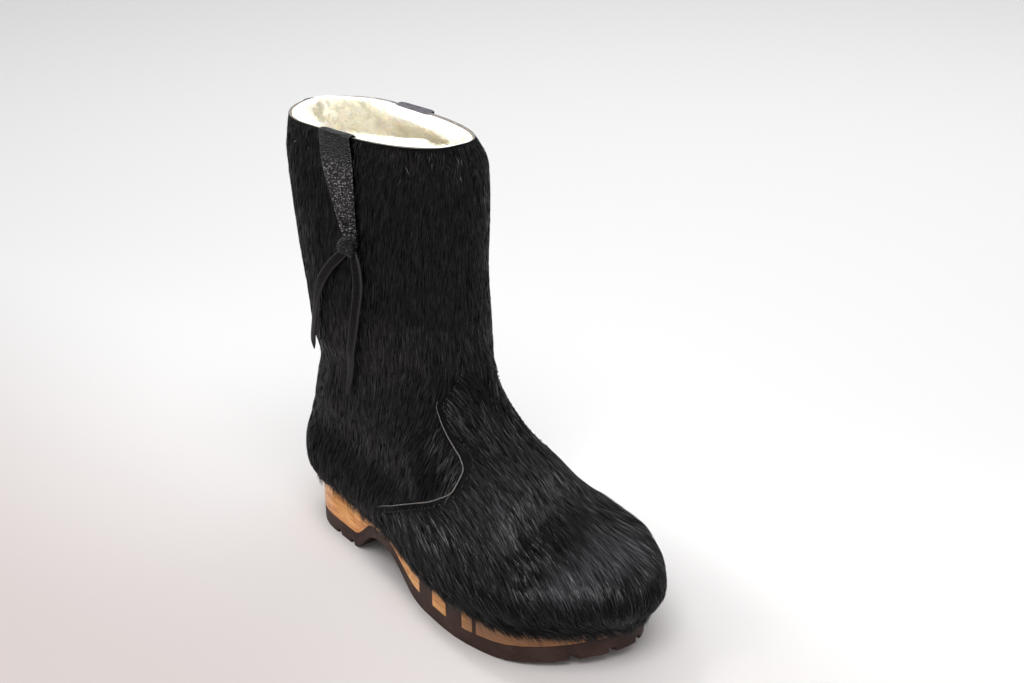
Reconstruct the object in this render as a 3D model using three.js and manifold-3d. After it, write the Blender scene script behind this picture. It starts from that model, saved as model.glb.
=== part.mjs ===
// A fur-covered clog boot for the right foot: a hollow hide upper with a shearling
// collar, on a wooden clog sole with a moulded rubber outsole.
// Millimetres. +X runs from heel to toe, +Y to the inner (medial) side, +Z up from the floor.
import * as THREE from 'three';
import { mergeVertices } from 'three/addons/utils/BufferGeometryUtils.js';
import Module from 'manifold-3d';

const wasm = await Module();
wasm.setup();

// Sole
const soleLength = 262;
const ballWidth = 100;
const treadThickness = 9.5;
const archHeight = 17.5;
const toeSpring = 7.5;
const heelSeatHeight = 44;
const lugDepth = 2.8;
const tabDepth = 4;
const insoleThickness = 6;

// Upper
const heelEdgeHeight = 33;
const toeEdgeHeight = 25;
const ankleHeight = 141;
const bootHeight = 266;
const shaftLength = 141;
const shaftWidth = 82;
const ankleTilt = 18;
const wall = 3;
const vampStep = 1.1;

// Collar and trim
const fleeceThickness = 11;
const fleeceDepth = 62;
const fleeceCrown = 3;
const lockRelief = 2.4;
const leatherThickness = 2.2;
const strapFoldDepth = 9;
const tabLength = 15;
const tabFoldDepth = 9;
const knotWidth = 16;
const knotHeight = 14;
const knotThickness = 11;
const thongWidth = 6;
const thongThickness = 2.2;

// Gap kept between pieces that meet
const clearance = 0.3;
const fleeceGap = 0.9;

// A smooth curve through a short table that never overshoots between its rows
function curveThrough(places, values) {
  const last = places.length - 1;
  const step = places.slice(1).map((place, i) => place - places[i]);
  const rate = step.map((width, i) => (values[i + 1] - values[i]) / width);
  const slope = places.map((place, i) => {
    if (i === 0) return rate[0];
    if (i === last) return rate[last - 1];
    if (rate[i - 1] * rate[i] <= 0) return 0;
    const before = 2 * step[i] + step[i - 1];
    const after = step[i] + 2 * step[i - 1];
    return (before + after) / (before / rate[i - 1] + after / rate[i]);
  });
  return (place) => {
    const x = Math.min(Math.max(place, places[0]), places[last]);
    let i = 0;
    while (i < last - 1 && x > places[i + 1]) i += 1;
    const h = step[i];
    const s = (x - places[i]) / h;
    const rise = s * s * (3 - 2 * s);
    return values[i] * (1 - rise) + values[i + 1] * rise
      + h * s * (1 - s) * (slope[i] * (1 - s) - slope[i + 1] * s);
  };
}

function tableCurve(rows, place, column) {
  return curveThrough(rows.map((row) => row[place]), rows.map((row) => row[column]));
}

// Plan of the sole: half widths as shares of the ball width, at shares of the length
const planRows = [
  { at: 0.00, lateral: 0.260, medial: 0.260 },
  { at: 0.06, lateral: 0.280, medial: 0.280 },
  { at: 0.12, lateral: 0.295, medial: 0.295 },
  { at: 0.25, lateral: 0.330, medial: 0.300 },
  { at: 0.42, lateral: 0.380, medial: 0.270 },
  { at: 0.58, lateral: 0.480, medial: 0.350 },
  { at: 0.70, lateral: 0.515, medial: 0.465 },
  { at: 0.82, lateral: 0.480, medial: 0.505 },
  { at: 0.92, lateral: 0.410, medial: 0.470 },
  { at: 1.00, lateral: 0.320, medial: 0.410 },
];
const heelRound = 0.13;
const toeRound = 0.20;
const toeTipShift = 0.10;
const lateralShare = tableCurve(planRows, 'at', 'lateral');
const medialShare = tableCurve(planRows, 'at', 'medial');

// How far an outline has closed in towards its end point, 0 at the point and 1 along the side
function endRound(distance, reach, power) {
  const c = Math.max(1 - distance / reach, 0);
  return Math.max(1 - c * c, 0) ** power;
}

function planEdge(side, x) {
  const share = Math.min(Math.max(x / soleLength, 0), 1);
  return side * ballWidth * (side < 0 ? lateralShare(share) : medialShare(share));
}

// Outline of the sole seen from above, moved inwards by an inset
const outlineSteps = 72;
function soleOutline(inset) {
  const points = [];
  for (let i = 0; i < outlineSteps; i += 1) {
    const angle = (2 * Math.PI * (i + 0.5)) / outlineSteps;
    const t = (1 - Math.cos(angle)) / 2;
    const side = Math.sin(angle) > 0 ? -1 : 1;
    const round = endRound(t, heelRound, 0.5) * endRound(1 - t, toeRound, 0.5);
    const middle = toeTipShift * ballWidth * t;
    const x = soleLength * t;
    points.push(new THREE.Vector2(x, middle + (planEdge(side, x) - middle) * round));
  }
  return points.map((point, i) => {
    const before = points[(i + outlineSteps - 1) % outlineSteps];
    const after = points[(i + 1) % outlineSteps];
    const along = after.clone().sub(before).normalize();
    return new THREE.Vector2(point.x - along.y * inset, point.y + along.x * inset);
  });
}

// Side of the sole: the arch under the waist, the rubber's top line and the wood's top
const archRows = [
  { at: 0.235, rise: 0 },
  { at: 0.250, rise: 0.10 },
  { at: 0.275, rise: 0.50 },
  { at: 0.305, rise: 0.86 },
  { at: 0.345, rise: 1.00 },
  { at: 0.395, rise: 0.88 },
  { at: 0.455, rise: 0.38 },
  { at: 0.505, rise: 0.07 },
  { at: 0.540, rise: 0 },
];
const treadRows = [
  { at: 0.000, thick: 1.08 },
  { at: 0.225, thick: 1.04 },
  { at: 0.250, thick: 1.02 },
  { at: 0.275, thick: 0.86 },
  { at: 0.305, thick: 0.88 },
  { at: 0.345, thick: 0.66 },
  { at: 0.420, thick: 0.68 },
  { at: 0.490, thick: 0.86 },
  { at: 0.545, thick: 0.93 },
  { at: 0.700, thick: 0.93 },
  { at: 0.790, thick: 1.00 },
  { at: 1.000, thick: 1.05 },
];
const seatRows = [
  { at: 0.00, height: 1.00 },
  { at: 0.25, height: 0.99 },
  { at: 0.45, height: 0.88 },
  { at: 0.65, height: 0.74 },
  { at: 0.80, height: 0.71 },
  { at: 1.00, height: 0.78 },
];
const springStart = 0.76;
const archShare = tableCurve(archRows, 'at', 'rise');
const treadShare = tableCurve(treadRows, 'at', 'thick');
const seatShare = tableCurve(seatRows, 'at', 'height');

function floorLine(x) {
  const share = x / soleLength;
  const spring = Math.max((share - springStart) / (1 - springStart), 0);
  return archHeight * archShare(share) + toeSpring * spring ** 1.6;
}
const treadLine = (x) => floorLine(x) + treadThickness * treadShare(x / soleLength);
const seatLine = (x) => heelSeatHeight * seatShare(x / soleLength);

// Sections of the upper from the sole edge to the ankle. back and front are shares of the
// sole length, backUp and frontUp shares of the climb to the ankle, and swell, half and toeY
// shares of the ball width. oval goes from the sole's plan (0) to an oval (1).
const footRows = [
  { back: -0.008, backUp: 0.000, front: 1.004, frontUp: 0.000, swell: 0.030, fit: 1.00, oval: 0.00, half: 0.400,
    heel: 0.13, toe: 0.20, toeY: 0.10 },
  { back: -0.015, backUp: 0.111, front: 1.022, frontUp: 0.108, swell: 0.068, fit: 1.05, oval: 0.00, half: 0.400,
    heel: 0.13, toe: 0.20, toeY: 0.10 },
  { back: -0.029, backUp: 0.231, front: 1.006, frontUp: 0.194, swell: 0.057, fit: 1.05, oval: 0.00, half: 0.400,
    heel: 0.14, toe: 0.22, toeY: 0.10 },
  { back: -0.034, backUp: 0.324, front: 0.966, frontUp: 0.260, swell: 0.028, fit: 1.02, oval: 0.00, half: 0.400,
    heel: 0.15, toe: 0.26, toeY: 0.10 },
  { back: -0.031, backUp: 0.398, front: 0.895, frontUp: 0.326, swell: 0.016, fit: 0.98, oval: 0.05, half: 0.400,
    heel: 0.16, toe: 0.32, toeY: 0.09 },
  { back: -0.015, backUp: 0.472, front: 0.800, frontUp: 0.436, swell: 0.020, fit: 0.95, oval: 0.10, half: 0.385,
    heel: 0.18, toe: 0.38, toeY: 0.08 },
  { back: 0.000, backUp: 0.546, front: 0.713, frontUp: 0.548, swell: 0.031, fit: 0.95, oval: 0.25, half: 0.365,
    heel: 0.22, toe: 0.42, toeY: 0.07 },
  { back: 0.011, backUp: 0.639, front: 0.628, frontUp: 0.672, swell: 0.030, fit: 0.95, oval: 0.50, half: 0.345,
    heel: 0.28, toe: 0.45, toeY: 0.06 },
  { back: 0.011, backUp: 0.759, front: 0.566, frontUp: 0.852, swell: 0.000, fit: 0.95, oval: 0.80, half: 0.345,
    heel: 0.36, toe: 0.48, toeY: 0.05 },
];

// Sections of the shaft from the ankle to the collar. middle is a share of the sole length,
// long and wide are shares of the shaft's length and width, up of the climb from ankle to
// collar, tilt of the ankle's tilt, and backY and frontY of the shaft's width. heel and toe
// say how soon the ends round in, and blunt and point how full or sharp they are.
const shaftRows = [
  { middle: 0.262, long: 1.00, wide: 0.99, up: 0.00, tilt: 1.00, backY: 0.035, frontY: 0.06, heel: 0.45, toe: 0.50,
    blunt: 0.50, point: 0.50 },
  { middle: 0.250, long: 1.00, wide: 1.05, up: 0.18, tilt: 0.95, backY: 0.045, frontY: 0.07, heel: 0.46, toe: 0.50,
    blunt: 0.50, point: 0.50 },
  { middle: 0.234, long: 1.01, wide: 1.06, up: 0.41, tilt: 0.83, backY: 0.050, frontY: 0.10, heel: 0.43, toe: 0.50,
    blunt: 0.48, point: 0.52 },
  { middle: 0.226, long: 1.03, wide: 1.05, up: 0.62, tilt: 0.72, backY: 0.050, frontY: 0.12, heel: 0.40, toe: 0.50,
    blunt: 0.46, point: 0.50 },
  { middle: 0.214, long: 1.04, wide: 1.01, up: 0.83, tilt: 0.50, backY: 0.055, frontY: 0.13, heel: 0.35, toe: 0.50,
    blunt: 0.46, point: 0.44 },
  { middle: 0.194, long: 1.05, wide: 0.895, up: 1.00, tilt: 0.00, backY: 0.100, frontY: 0.05, heel: 0.30, toe: 0.50,
    blunt: 0.60, point: 0.34 },
];

const sections = [
  ...footRows.map((row) => ({
    backX: row.back * soleLength - row.swell * ballWidth,
    backZ: heelEdgeHeight + row.backUp * (ankleHeight - heelEdgeHeight),
    frontX: row.front * soleLength + row.swell * ballWidth,
    frontZ: toeEdgeHeight + row.frontUp * (ankleHeight - toeEdgeHeight),
    swell: row.swell * ballWidth,
    fit: row.fit,
    oval: row.oval,
    half: row.half * ballWidth,
    heel: row.heel,
    toe: row.toe,
    blunt: 0.5,
    point: 0.5,
    backY: 0,
    frontY: row.toeY * ballWidth,
  })),
  ...shaftRows.map((row) => ({
    backX: row.middle * soleLength - (row.long * shaftLength) / 2,
    backZ: ankleHeight + row.up * (bootHeight - ankleHeight) - (row.tilt * ankleTilt) / 2,
    frontX: row.middle * soleLength + (row.long * shaftLength) / 2,
    frontZ: ankleHeight + row.up * (bootHeight - ankleHeight) + (row.tilt * ankleTilt) / 2,
    swell: 0,
    fit: 1,
    oval: 1,
    half: (row.wide * shaftWidth) / 2,
    heel: row.heel,
    toe: row.toe,
    blunt: row.blunt,
    point: row.point,
    backY: row.backY * shaftWidth,
    frontY: row.frontY * shaftWidth,
  })),
];
const topLevel = sections.length - 1;
const levels = sections.map((section, i) => i);
const column = Object.fromEntries(Object.keys(sections[0]).map(
  (name) => [name, curveThrough(levels, sections.map((section) => section[name]))],
));

// Point of the upper's outside. The angle runs from the back along the outer side to the
// front and back along the inner side, and the level from 0 at the sole edge to topLevel
// at the collar.
function upperPoint(angle, level) {
  const t = (1 - Math.cos(angle)) / 2;
  const side = Math.sin(angle) >= 0 ? -1 : 1;
  const x = column.backX(level) * (1 - t) + column.frontX(level) * t;
  const z = column.backZ(level) * (1 - t) + column.frontZ(level) * t;
  const round = endRound(t, column.heel(level), column.blunt(level))
    * endRound(1 - t, column.toe(level), column.point(level));
  const middle = column.backY(level) * (1 - t) + column.frontY(level) * t;
  const soleSide = planEdge(side, x) * column.fit(level) + side * column.swell(level);
  const ovalSide = middle + side * column.half(level);
  const oval = column.oval(level);
  const edge = soleSide * (1 - oval) + ovalSide * oval;
  return new THREE.Vector3(x, middle + (edge - middle) * round, z);
}

function upperNormal(angle, level) {
  const da = 0.03;
  const dl = 0.05;
  const around = upperPoint(angle + da, level).sub(upperPoint(angle - da, level));
  const up = upperPoint(angle, Math.min(level + dl, topLevel))
    .sub(upperPoint(angle, Math.max(level - dl, 0)));
  return around.cross(up).normalize();
}

// The same surface moved out along its normal
function upperAt(angle, level, out) {
  return upperPoint(angle, level).addScaledVector(upperNormal(angle, level), out);
}

// Angle and level of the upper at a place given in the side view
function sidePlace(x, z, side) {
  let low = 0;
  let high = topLevel;
  const share = (level) => {
    const t = (x - column.backX(level)) / (column.frontX(level) - column.backX(level));
    return Math.min(Math.max(t, 0), 1);
  };
  for (let i = 0; i < 40; i += 1) {
    const level = (low + high) / 2;
    const t = share(level);
    const reached = column.backZ(level) * (1 - t) + column.frontZ(level) * t;
    if (reached < z) low = level;
    else high = level;
  }
  const turn = Math.acos(1 - 2 * share(low));
  return { angle: side < 0 ? turn : 2 * Math.PI - turn, level: low };
}

// Solids from loops of points, from extruded outlines and from boxes
function solidFrom(vertices, triangles) {
  const volume = triangles.reduce((sum, [a, b, c]) => sum
    + vertices[a].dot(vertices[b].clone().cross(vertices[c])), 0);
  const facing = volume < 0 ? triangles.map(([a, b, c]) => [a, c, b]) : triangles;
  return new wasm.Manifold(new wasm.Mesh({
    numProp: 3,
    vertProperties: Float32Array.from(vertices.flatMap((vertex) => vertex.toArray())),
    triVerts: Uint32Array.from(facing.flat()),
  }));
}

function loft(loops, closed = false) {
  const count = loops[0].length;
  const vertices = loops.flat();
  const triangles = [];
  const bands = closed ? loops.length : loops.length - 1;
  for (let i = 0; i < bands; i += 1) {
    const low = i * count;
    const high = ((i + 1) % loops.length) * count;
    for (let j = 0; j < count; j += 1) {
      const next = (j + 1) % count;
      triangles.push([low + j, low + next, high + next], [low + j, high + next, high + j]);
    }
  }
  if (!closed) {
    const ends = [[0, loops[0]], [(loops.length - 1) * count, loops[loops.length - 1]]];
    ends.forEach(([start, loop], end) => {
      const hub = vertices.length;
      vertices.push(loop.reduce((sum, point) => sum.add(point), new THREE.Vector3())
        .divideScalar(count));
      for (let j = 0; j < count; j += 1) {
        const next = (j + 1) % count;
        triangles.push(end === 0 ? [start + next, start + j, hub] : [start + j, start + next, hub]);
      }
    });
  }
  return solidFrom(vertices, triangles);
}

function fromGeometry(geometry) {
  const bare = geometry.clone();
  bare.deleteAttribute('normal');
  bare.deleteAttribute('uv');
  const merged = mergeVertices(bare, 1e-4);
  return new wasm.Manifold(new wasm.Mesh({
    numProp: 3,
    vertProperties: Float32Array.from(merged.attributes.position.array),
    triVerts: Uint32Array.from(merged.index.array),
  }));
}

function prism(points, low, high) {
  const geometry = new THREE.ExtrudeGeometry(new THREE.Shape(points), {
    depth: high - low, bevelEnabled: false,
  });
  geometry.translate(0, 0, low);
  return fromGeometry(geometry);
}

// Everything between two lines of the side view, across the whole width
const sideSteps = 64;
const sideMargin = 30;
function sideBand(lowLine, highLine) {
  const places = [-sideMargin];
  for (let i = 0; i <= sideSteps; i += 1) places.push((soleLength * i) / sideSteps);
  places.push(soleLength + sideMargin);
  const onSole = (x) => Math.min(Math.max(x, 0), soleLength);
  const outline = [
    ...places.map((x) => new THREE.Vector2(x, lowLine(onSole(x)))),
    ...places.reverse().map((x) => new THREE.Vector2(x, highLine(onSole(x)))),
  ];
  const geometry = new THREE.ExtrudeGeometry(new THREE.Shape(outline), {
    depth: 2 * ballWidth, bevelEnabled: false,
  });
  geometry.rotateX(Math.PI / 2);
  geometry.translate(0, ballWidth, 0);
  return fromGeometry(geometry);
}

function box(low, high) {
  const size = high.map((value, i) => value - low[i]);
  const geometry = new THREE.BoxGeometry(...size);
  geometry.translate(...high.map((value, i) => (value + low[i]) / 2));
  return fromGeometry(geometry);
}

function union(solids) {
  return solids.reduce((joined, solid) => joined.add(solid));
}

// The one real body of a cut solid, without the crumbs that a cut along a facet leaves
function mainBody(solid) {
  return solid.decompose().sort((a, b) => b.volume() - a.volume())[0];
}

// The foot and leg space as a solid: the upper's surface moved out or in, closed top and
// bottom, and lengthened past both edges where it is used as a cutter
function upperForm(out, { around, bands }, past) {
  const loops = [];
  for (let i = 0; i <= bands; i += 1) {
    const level = (topLevel * i) / bands;
    const loop = [];
    for (let j = 0; j < around; j += 1) {
      loop.push(upperAt((2 * Math.PI * (j + 0.5)) / around, level, out));
    }
    loops.push(loop);
  }
  if (past > 0) {
    const down = new THREE.Vector3(0, 0, -past);
    const up = new THREE.Vector3(0, 0, past);
    loops.unshift(loops[0].map((point) => point.clone().add(down)));
    loops.push(loops[loops.length - 1].map((point) => point.clone().add(up)));
  }
  return loft(loops);
}

// Facets round and up the outside and the inside of the upper
const outside = { around: 48, bands: 20 };
const inside = { around: 40, bands: 16 };

const edgeLine = (x) => {
  const share = (x - sections[0].backX) / (sections[0].frontX - sections[0].backX);
  return heelEdgeHeight + (toeEdgeHeight - heelEdgeHeight) * share;
};
const cutterReach = 25;
const insideForm = upperForm(-wall, inside, cutterReach);

// Front edge of the quarters in the side view, as shares of the sole length and of the
// ankle height. The vamp lies over the quarters in front of this seam.
const vampSeamRows = [
  { x: 0.62, z: 1.030 },
  { x: 0.525, z: 1.000 },
  { x: 0.512, z: 0.900 },
  { x: 0.505, z: 0.850 },
  { x: 0.522, z: 0.800 },
  { x: 0.550, z: 0.752 },
  { x: 0.583, z: 0.708 },
  { x: 0.607, z: 0.680 },
  { x: 0.630, z: 0.640 },
  { x: 0.635, z: 0.585 },
  { x: 0.610, z: 0.545 },
  { x: 0.552, z: 0.490 },
  { x: 0.468, z: 0.415 },
  { x: 0.388, z: 0.340 },
  { x: 0.340, z: 0.200 },
];

function vampOverlay() {
  const outline = vampSeamRows.map((row) => new THREE.Vector2(row.x * soleLength, row.z * ankleHeight));
  outline.push(new THREE.Vector2(soleLength + 2 * sideMargin, 0));
  outline.push(new THREE.Vector2(soleLength + 2 * sideMargin, 1.03 * ankleHeight));
  const geometry = new THREE.ExtrudeGeometry(new THREE.Shape(outline), {
    depth: 2 * ballWidth, bevelEnabled: false,
  });
  geometry.rotateX(Math.PI / 2);
  geometry.translate(0, ballWidth, 0);
  return upperForm(vampStep, outside, 0).intersect(fromGeometry(geometry));
}

function makeUpper() {
  return upperForm(0, outside, 0).add(vampOverlay()).subtract(insideForm);
}

// The upper's wall with the gap round it, which trims are cut back from
const wallSpace = upperForm(clearance, outside, clearance)
  .subtract(upperForm(-wall - clearance, inside, cutterReach));

// Rubber tabs that reach up over the wood along both sides, as shares of the sole length
const sideTabs = [
  { from: 0.545, to: 0.603 },
  { from: 0.660, to: 0.714 },
  { from: 0.748, to: 0.757 },
];
// and round the toe, by their middle across the boot as shares of the ball width
const toeTabs = [
  { middle: -0.14, width: 0.05 },
  { middle: 0.03, width: 0.05 },
  { middle: 0.20, width: 0.05 },
];
const tabDrop = 2;

function tabSpaces(grow) {
  const spaces = sideTabs.map((tab) => box(
    [tab.from * soleLength - grow, -ballWidth, 0],
    [tab.to * soleLength + grow, ballWidth, bootHeight],
  ));
  toeTabs.forEach((tab) => spaces.push(box(
    [0.93 * soleLength, (tab.middle - tab.width / 2) * ballWidth - grow, 0],
    [2 * soleLength, (tab.middle + tab.width / 2) * ballWidth + grow, bootHeight],
  )));
  const band = sideBand((x) => treadLine(x) - 1, (x) => edgeLine(x) - tabDrop + grow);
  const rim = prism(soleOutline(-1), 0, bootHeight)
    .subtract(prism(soleOutline(tabDepth + grow), -1, bootHeight + 1));
  return union(spaces).intersect(band).intersect(rim);
}

// Grooves between the lugs, as shares of the sole length. Open ones run out at the sides.
const grooveRows = [
  { at: 0.055, open: false },
  { at: 0.105, open: false },
  { at: 0.157, open: true },
  { at: 0.219, open: true },
  { at: 0.575, open: false },
  { at: 0.635, open: false },
  { at: 0.695, open: false },
  { at: 0.755, open: false },
  { at: 0.815, open: false },
  { at: 0.875, open: false },
];
const grooveWidth = 4.4;
const blindMargin = 8;
const toeGrooveRows = [{ y: -0.22 }, { y: -0.03 }, { y: 0.15 }, { y: 0.31 }];
const toeGrooveStart = 0.93;

function grooves() {
  const across = (row) => box(
    [row.at * soleLength - grooveWidth / 2, -ballWidth, -lugDepth],
    [row.at * soleLength + grooveWidth / 2, ballWidth, bootHeight],
  );
  const open = grooveRows.filter((row) => row.open).map(across);
  const blind = grooveRows.filter((row) => !row.open).map(across);
  const toe = toeGrooveRows.map((row) => box(
    [toeGrooveStart * soleLength, row.y * ballWidth - grooveWidth / 2, -lugDepth],
    [2 * soleLength, row.y * ballWidth + grooveWidth / 2, bootHeight],
  ));
  const depthBand = sideBand((x) => floorLine(x) - lugDepth, (x) => floorLine(x) + lugDepth);
  const middle = prism(soleOutline(blindMargin), -lugDepth, bootHeight);
  return union([...open, ...toe, union(blind).intersect(middle)]).intersect(depthBand);
}

function makeOutsole() {
  const slab = prism(soleOutline(0), -1, bootHeight).intersect(sideBand(floorLine, treadLine));
  const tabs = tabSpaces(0).intersect(prism(soleOutline(0), -1, bootHeight));
  return slab.add(tabs).subtract(grooves());
}

function makeWoodSole() {
  const plan = prism(soleOutline(0), 0, bootHeight);
  const base = plan.intersect(sideBand(
    (x) => treadLine(x) + clearance,
    (x) => edgeLine(x) - vampStep,
  ));
  const seat = upperForm(-wall - clearance, inside, cutterReach)
    .intersect(plan)
    .intersect(sideBand((x) => edgeLine(x) - 2 * tabDrop, seatLine));
  return base.add(seat).subtract(tabSpaces(clearance));
}

const insoleInset = 1.5;
function makeInsole() {
  return upperForm(-wall - insoleInset, inside, cutterReach)
    .intersect(sideBand(
      (x) => seatLine(x) + clearance,
      (x) => seatLine(x) + clearance + insoleThickness,
    ));
}

// Level of a point a given distance below the collar
function levelBelow(drop) {
  return sidePlace(column.backX(topLevel) + shaftLength / 2, bootHeight - drop, -1).level;
}

// Leather folded over the collar, before the wall is cut away from it. rows give left and
// right edges (x) at heights (z) of its outer leg, from the collar down, and fold is how far
// it goes down inside. grow makes it larger all round, to cut its place from a neighbour.
function collarStrap(rows, side, fold, grow) {
  const acrossSteps = 4;
  const thickness = leatherThickness + grow;
  const near = wall / 4;
  const far = wall / 2 + clearance + thickness;
  const lowest = rows[rows.length - 1];
  const stations = [];
  [...rows].reverse().forEach((row) => stations.push({ row, place: 'out' }));
  [0, 45, 90, 135, 180].forEach((turn) => stations.push({ row: rows[0], place: 'over', turn }));
  stations.push({ row: rows[0], place: 'in' });
  const point = (station, share, radius) => {
    const reach = station.row.left + (station.row.right - station.row.left) * share;
    const spread = (share - 0.5) * 2 * grow;
    const x = reach + spread;
    if (station.place === 'out') {
      const z = station.row === lowest ? station.row.z - grow : station.row.z;
      const { angle, level } = sidePlace(x, z, side);
      return upperAt(angle, level, radius - wall / 2);
    }
    const { angle } = sidePlace(x, bootHeight, side);
    if (station.place === 'in') return upperAt(angle, levelBelow(fold + grow), -radius - wall / 2);
    const turn = (station.turn * Math.PI) / 180;
    const rim = upperAt(angle, topLevel, radius * Math.cos(turn) - wall / 2);
    return rim.add(new THREE.Vector3(0, 0, radius * Math.sin(turn)));
  };
  return loft(stations.map((station) => {
    const loop = [];
    for (let i = 0; i <= acrossSteps; i += 1) loop.push(point(station, i / acrossSteps, far));
    for (let i = acrossSteps; i >= 0; i -= 1) loop.push(point(station, i / acrossSteps, near));
    return loop;
  }));
}

// Pull strap on the outer side: edges as shares of the shaft's length from the collar's
// back, drop as a share of the climb from ankle to collar
const strapRows = [
  { left: 0.476, right: 0.680, drop: 0.010 },
  { left: 0.496, right: 0.694, drop: 0.080 },
  { left: 0.525, right: 0.706, drop: 0.160 },
  { left: 0.565, right: 0.716, drop: 0.240 },
  { left: 0.603, right: 0.726, drop: 0.320 },
  { left: 0.634, right: 0.734, drop: 0.400 },
  { left: 0.652, right: 0.738, drop: 0.430 },
  { left: 0.672, right: 0.736, drop: 0.460 },
];
const knotPlace = { along: 0.712, drop: 0.482 };
const collarBack = sections[topLevel].backX;
const climb = bootHeight - ankleHeight;
const placeX = (share) => collarBack + share * shaftLength;
const placeZ = (drop) => bootHeight - drop * climb;

function edgeRows(rows) {
  return rows.map((row) => ({ left: placeX(row.left), right: placeX(row.right), z: placeZ(row.drop) }));
}
const pullStrapEdges = edgeRows(strapRows);
const medialTab = { left: 0.330, right: 0.565, top: 0.010 };
const medialTabEdges = edgeRows([medialTab.top, tabLength / climb].map((drop) => ({ ...medialTab, drop })));

function makePullStrap(grow) {
  return collarStrap(pullStrapEdges, -1, strapFoldDepth, grow);
}
function makeMedialTab(grow) {
  return collarStrap(medialTabEdges, 1, tabFoldDepth, grow);
}

// The back tab wraps round the blunt back of the collar, so it is placed by angle
const backTabFrom = -0.30;
const backTabTo = 0.12;
const backTabRadius = shaftWidth / 4;
function makeBackTab(grow) {
  const acrossSteps = 5;
  const near = wall / 4;
  const far = wall / 2 + clearance + leatherThickness + grow;
  const stations = [
    { level: levelBelow(tabLength + grow), turn: 0 },
    ...[0, 45, 90, 135, 180].map((turn) => ({ level: topLevel, turn })),
    { level: levelBelow(tabFoldDepth + grow), turn: 180 },
  ];
  const point = (station, share, radius) => {
    const angle = 2 * Math.PI + backTabFrom + (backTabTo - backTabFrom) * share
      + ((share - 0.5) * 2 * grow) / backTabRadius;
    const turn = (station.turn * Math.PI) / 180;
    const rim = upperAt(angle, station.level, radius * Math.cos(turn) - wall / 2);
    return rim.add(new THREE.Vector3(0, 0, radius * Math.sin(turn)));
  };
  return loft(stations.map((station) => {
    const loop = [];
    for (let i = 0; i <= acrossSteps; i += 1) loop.push(point(station, i / acrossSteps, far));
    for (let i = acrossSteps; i >= 0; i -= 1) loop.push(point(station, i / acrossSteps, near));
    return loop;
  }));
}

// Shearling inside the collar: a thick ring with curly locks standing out of its face
const lockRows = 6;
const locksAround = 28;
function makeCollarFleece() {
  const aroundSteps = 60;
  const backing = -wall - fleeceGap;
  const loops = [];
  const ring = (drop, depth, rise) => {
    const level = levelBelow(drop);
    const loop = [];
    for (let j = 0; j < aroundSteps; j += 1) {
      const angle = (2 * Math.PI * (j + 0.5)) / aroundSteps;
      const row = (drop / fleeceDepth) * lockRows;
      const lock = Math.sin(locksAround * 0.5 * angle + row * 2.1) * Math.cos(row * Math.PI)
        + 0.6 * Math.sin(locksAround * 0.31 * angle - row * 1.3 + 0.8);
      const relief = depth > 0 ? lockRelief * 0.5 * lock * Math.min(depth / fleeceThickness, 1) : 0;
      const point = upperAt(angle, level, backing - depth - relief);
      loop.push(point.add(new THREE.Vector3(0, 0, rise + relief * (rise > 0 ? 0.5 : 0))));
    }
    loops.push(loop);
  };
  ring(fleeceDepth, 0, 0);
  ring(fleeceDepth / 2, 0, 0);
  ring(0, 0, 0);
  ring(0, fleeceThickness * 0.25, fleeceCrown * 0.9);
  ring(0, fleeceThickness * 0.6, fleeceCrown);
  for (let i = 0; i <= lockRows; i += 1) {
    const drop = (fleeceDepth * i) / lockRows;
    const taper = i === lockRows ? 0.45 : 1;
    ring(Math.max(drop, 2), fleeceThickness * taper, 0);
  }
  const trims = [makePullStrap(fleeceGap), makeMedialTab(fleeceGap), makeBackTab(fleeceGap)];
  const room = upperForm(-wall - clearance, inside, cutterReach);
  return loft(loops, true).intersect(room).subtract(union(trims));
}

// Knot and the two pointed thong ends that hang from it. along and drop as for the strap,
// lift is how far the thong stands off the upper as a share of its thickness, width a share
// of the thong's width.
const rearThong = [
  { along: 0.702, drop: 0.495, lift: 0.25, width: 1.0 },
  { along: 0.655, drop: 0.545, lift: 0.55, width: 1.0 },
  { along: 0.597, drop: 0.605, lift: 0.68, width: 1.0 },
  { along: 0.530, drop: 0.695, lift: 0.68, width: 1.05 },
  { along: 0.478, drop: 0.805, lift: 0.68, width: 1.0 },
  { along: 0.440, drop: 0.930, lift: 0.91, width: 0.95 },
  { along: 0.412, drop: 1.040, lift: 1.36, width: 0.8 },
  { along: 0.398, drop: 1.110, lift: 1.80, width: 0.25 },
];
const frontThong = [
  { along: 0.722, drop: 0.500, lift: 0.25, width: 1.0 },
  { along: 0.747, drop: 0.585, lift: 0.55, width: 1.0 },
  { along: 0.757, drop: 0.680, lift: 0.68, width: 1.05 },
  { along: 0.745, drop: 0.800, lift: 0.68, width: 1.0 },
  { along: 0.717, drop: 0.930, lift: 0.68, width: 0.95 },
  { along: 0.676, drop: 1.055, lift: 0.68, width: 0.9 },
  { along: 0.637, drop: 1.170, lift: 0.68, width: 0.8 },
  { along: 0.606, drop: 1.280, lift: 0.68, width: 0.3 },
];

function placeOnSide(along, drop, out) {
  const { angle, level } = sidePlace(placeX(along), placeZ(drop), -1);
  return { point: upperAt(angle, level, out), normal: upperNormal(angle, level) };
}

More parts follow.
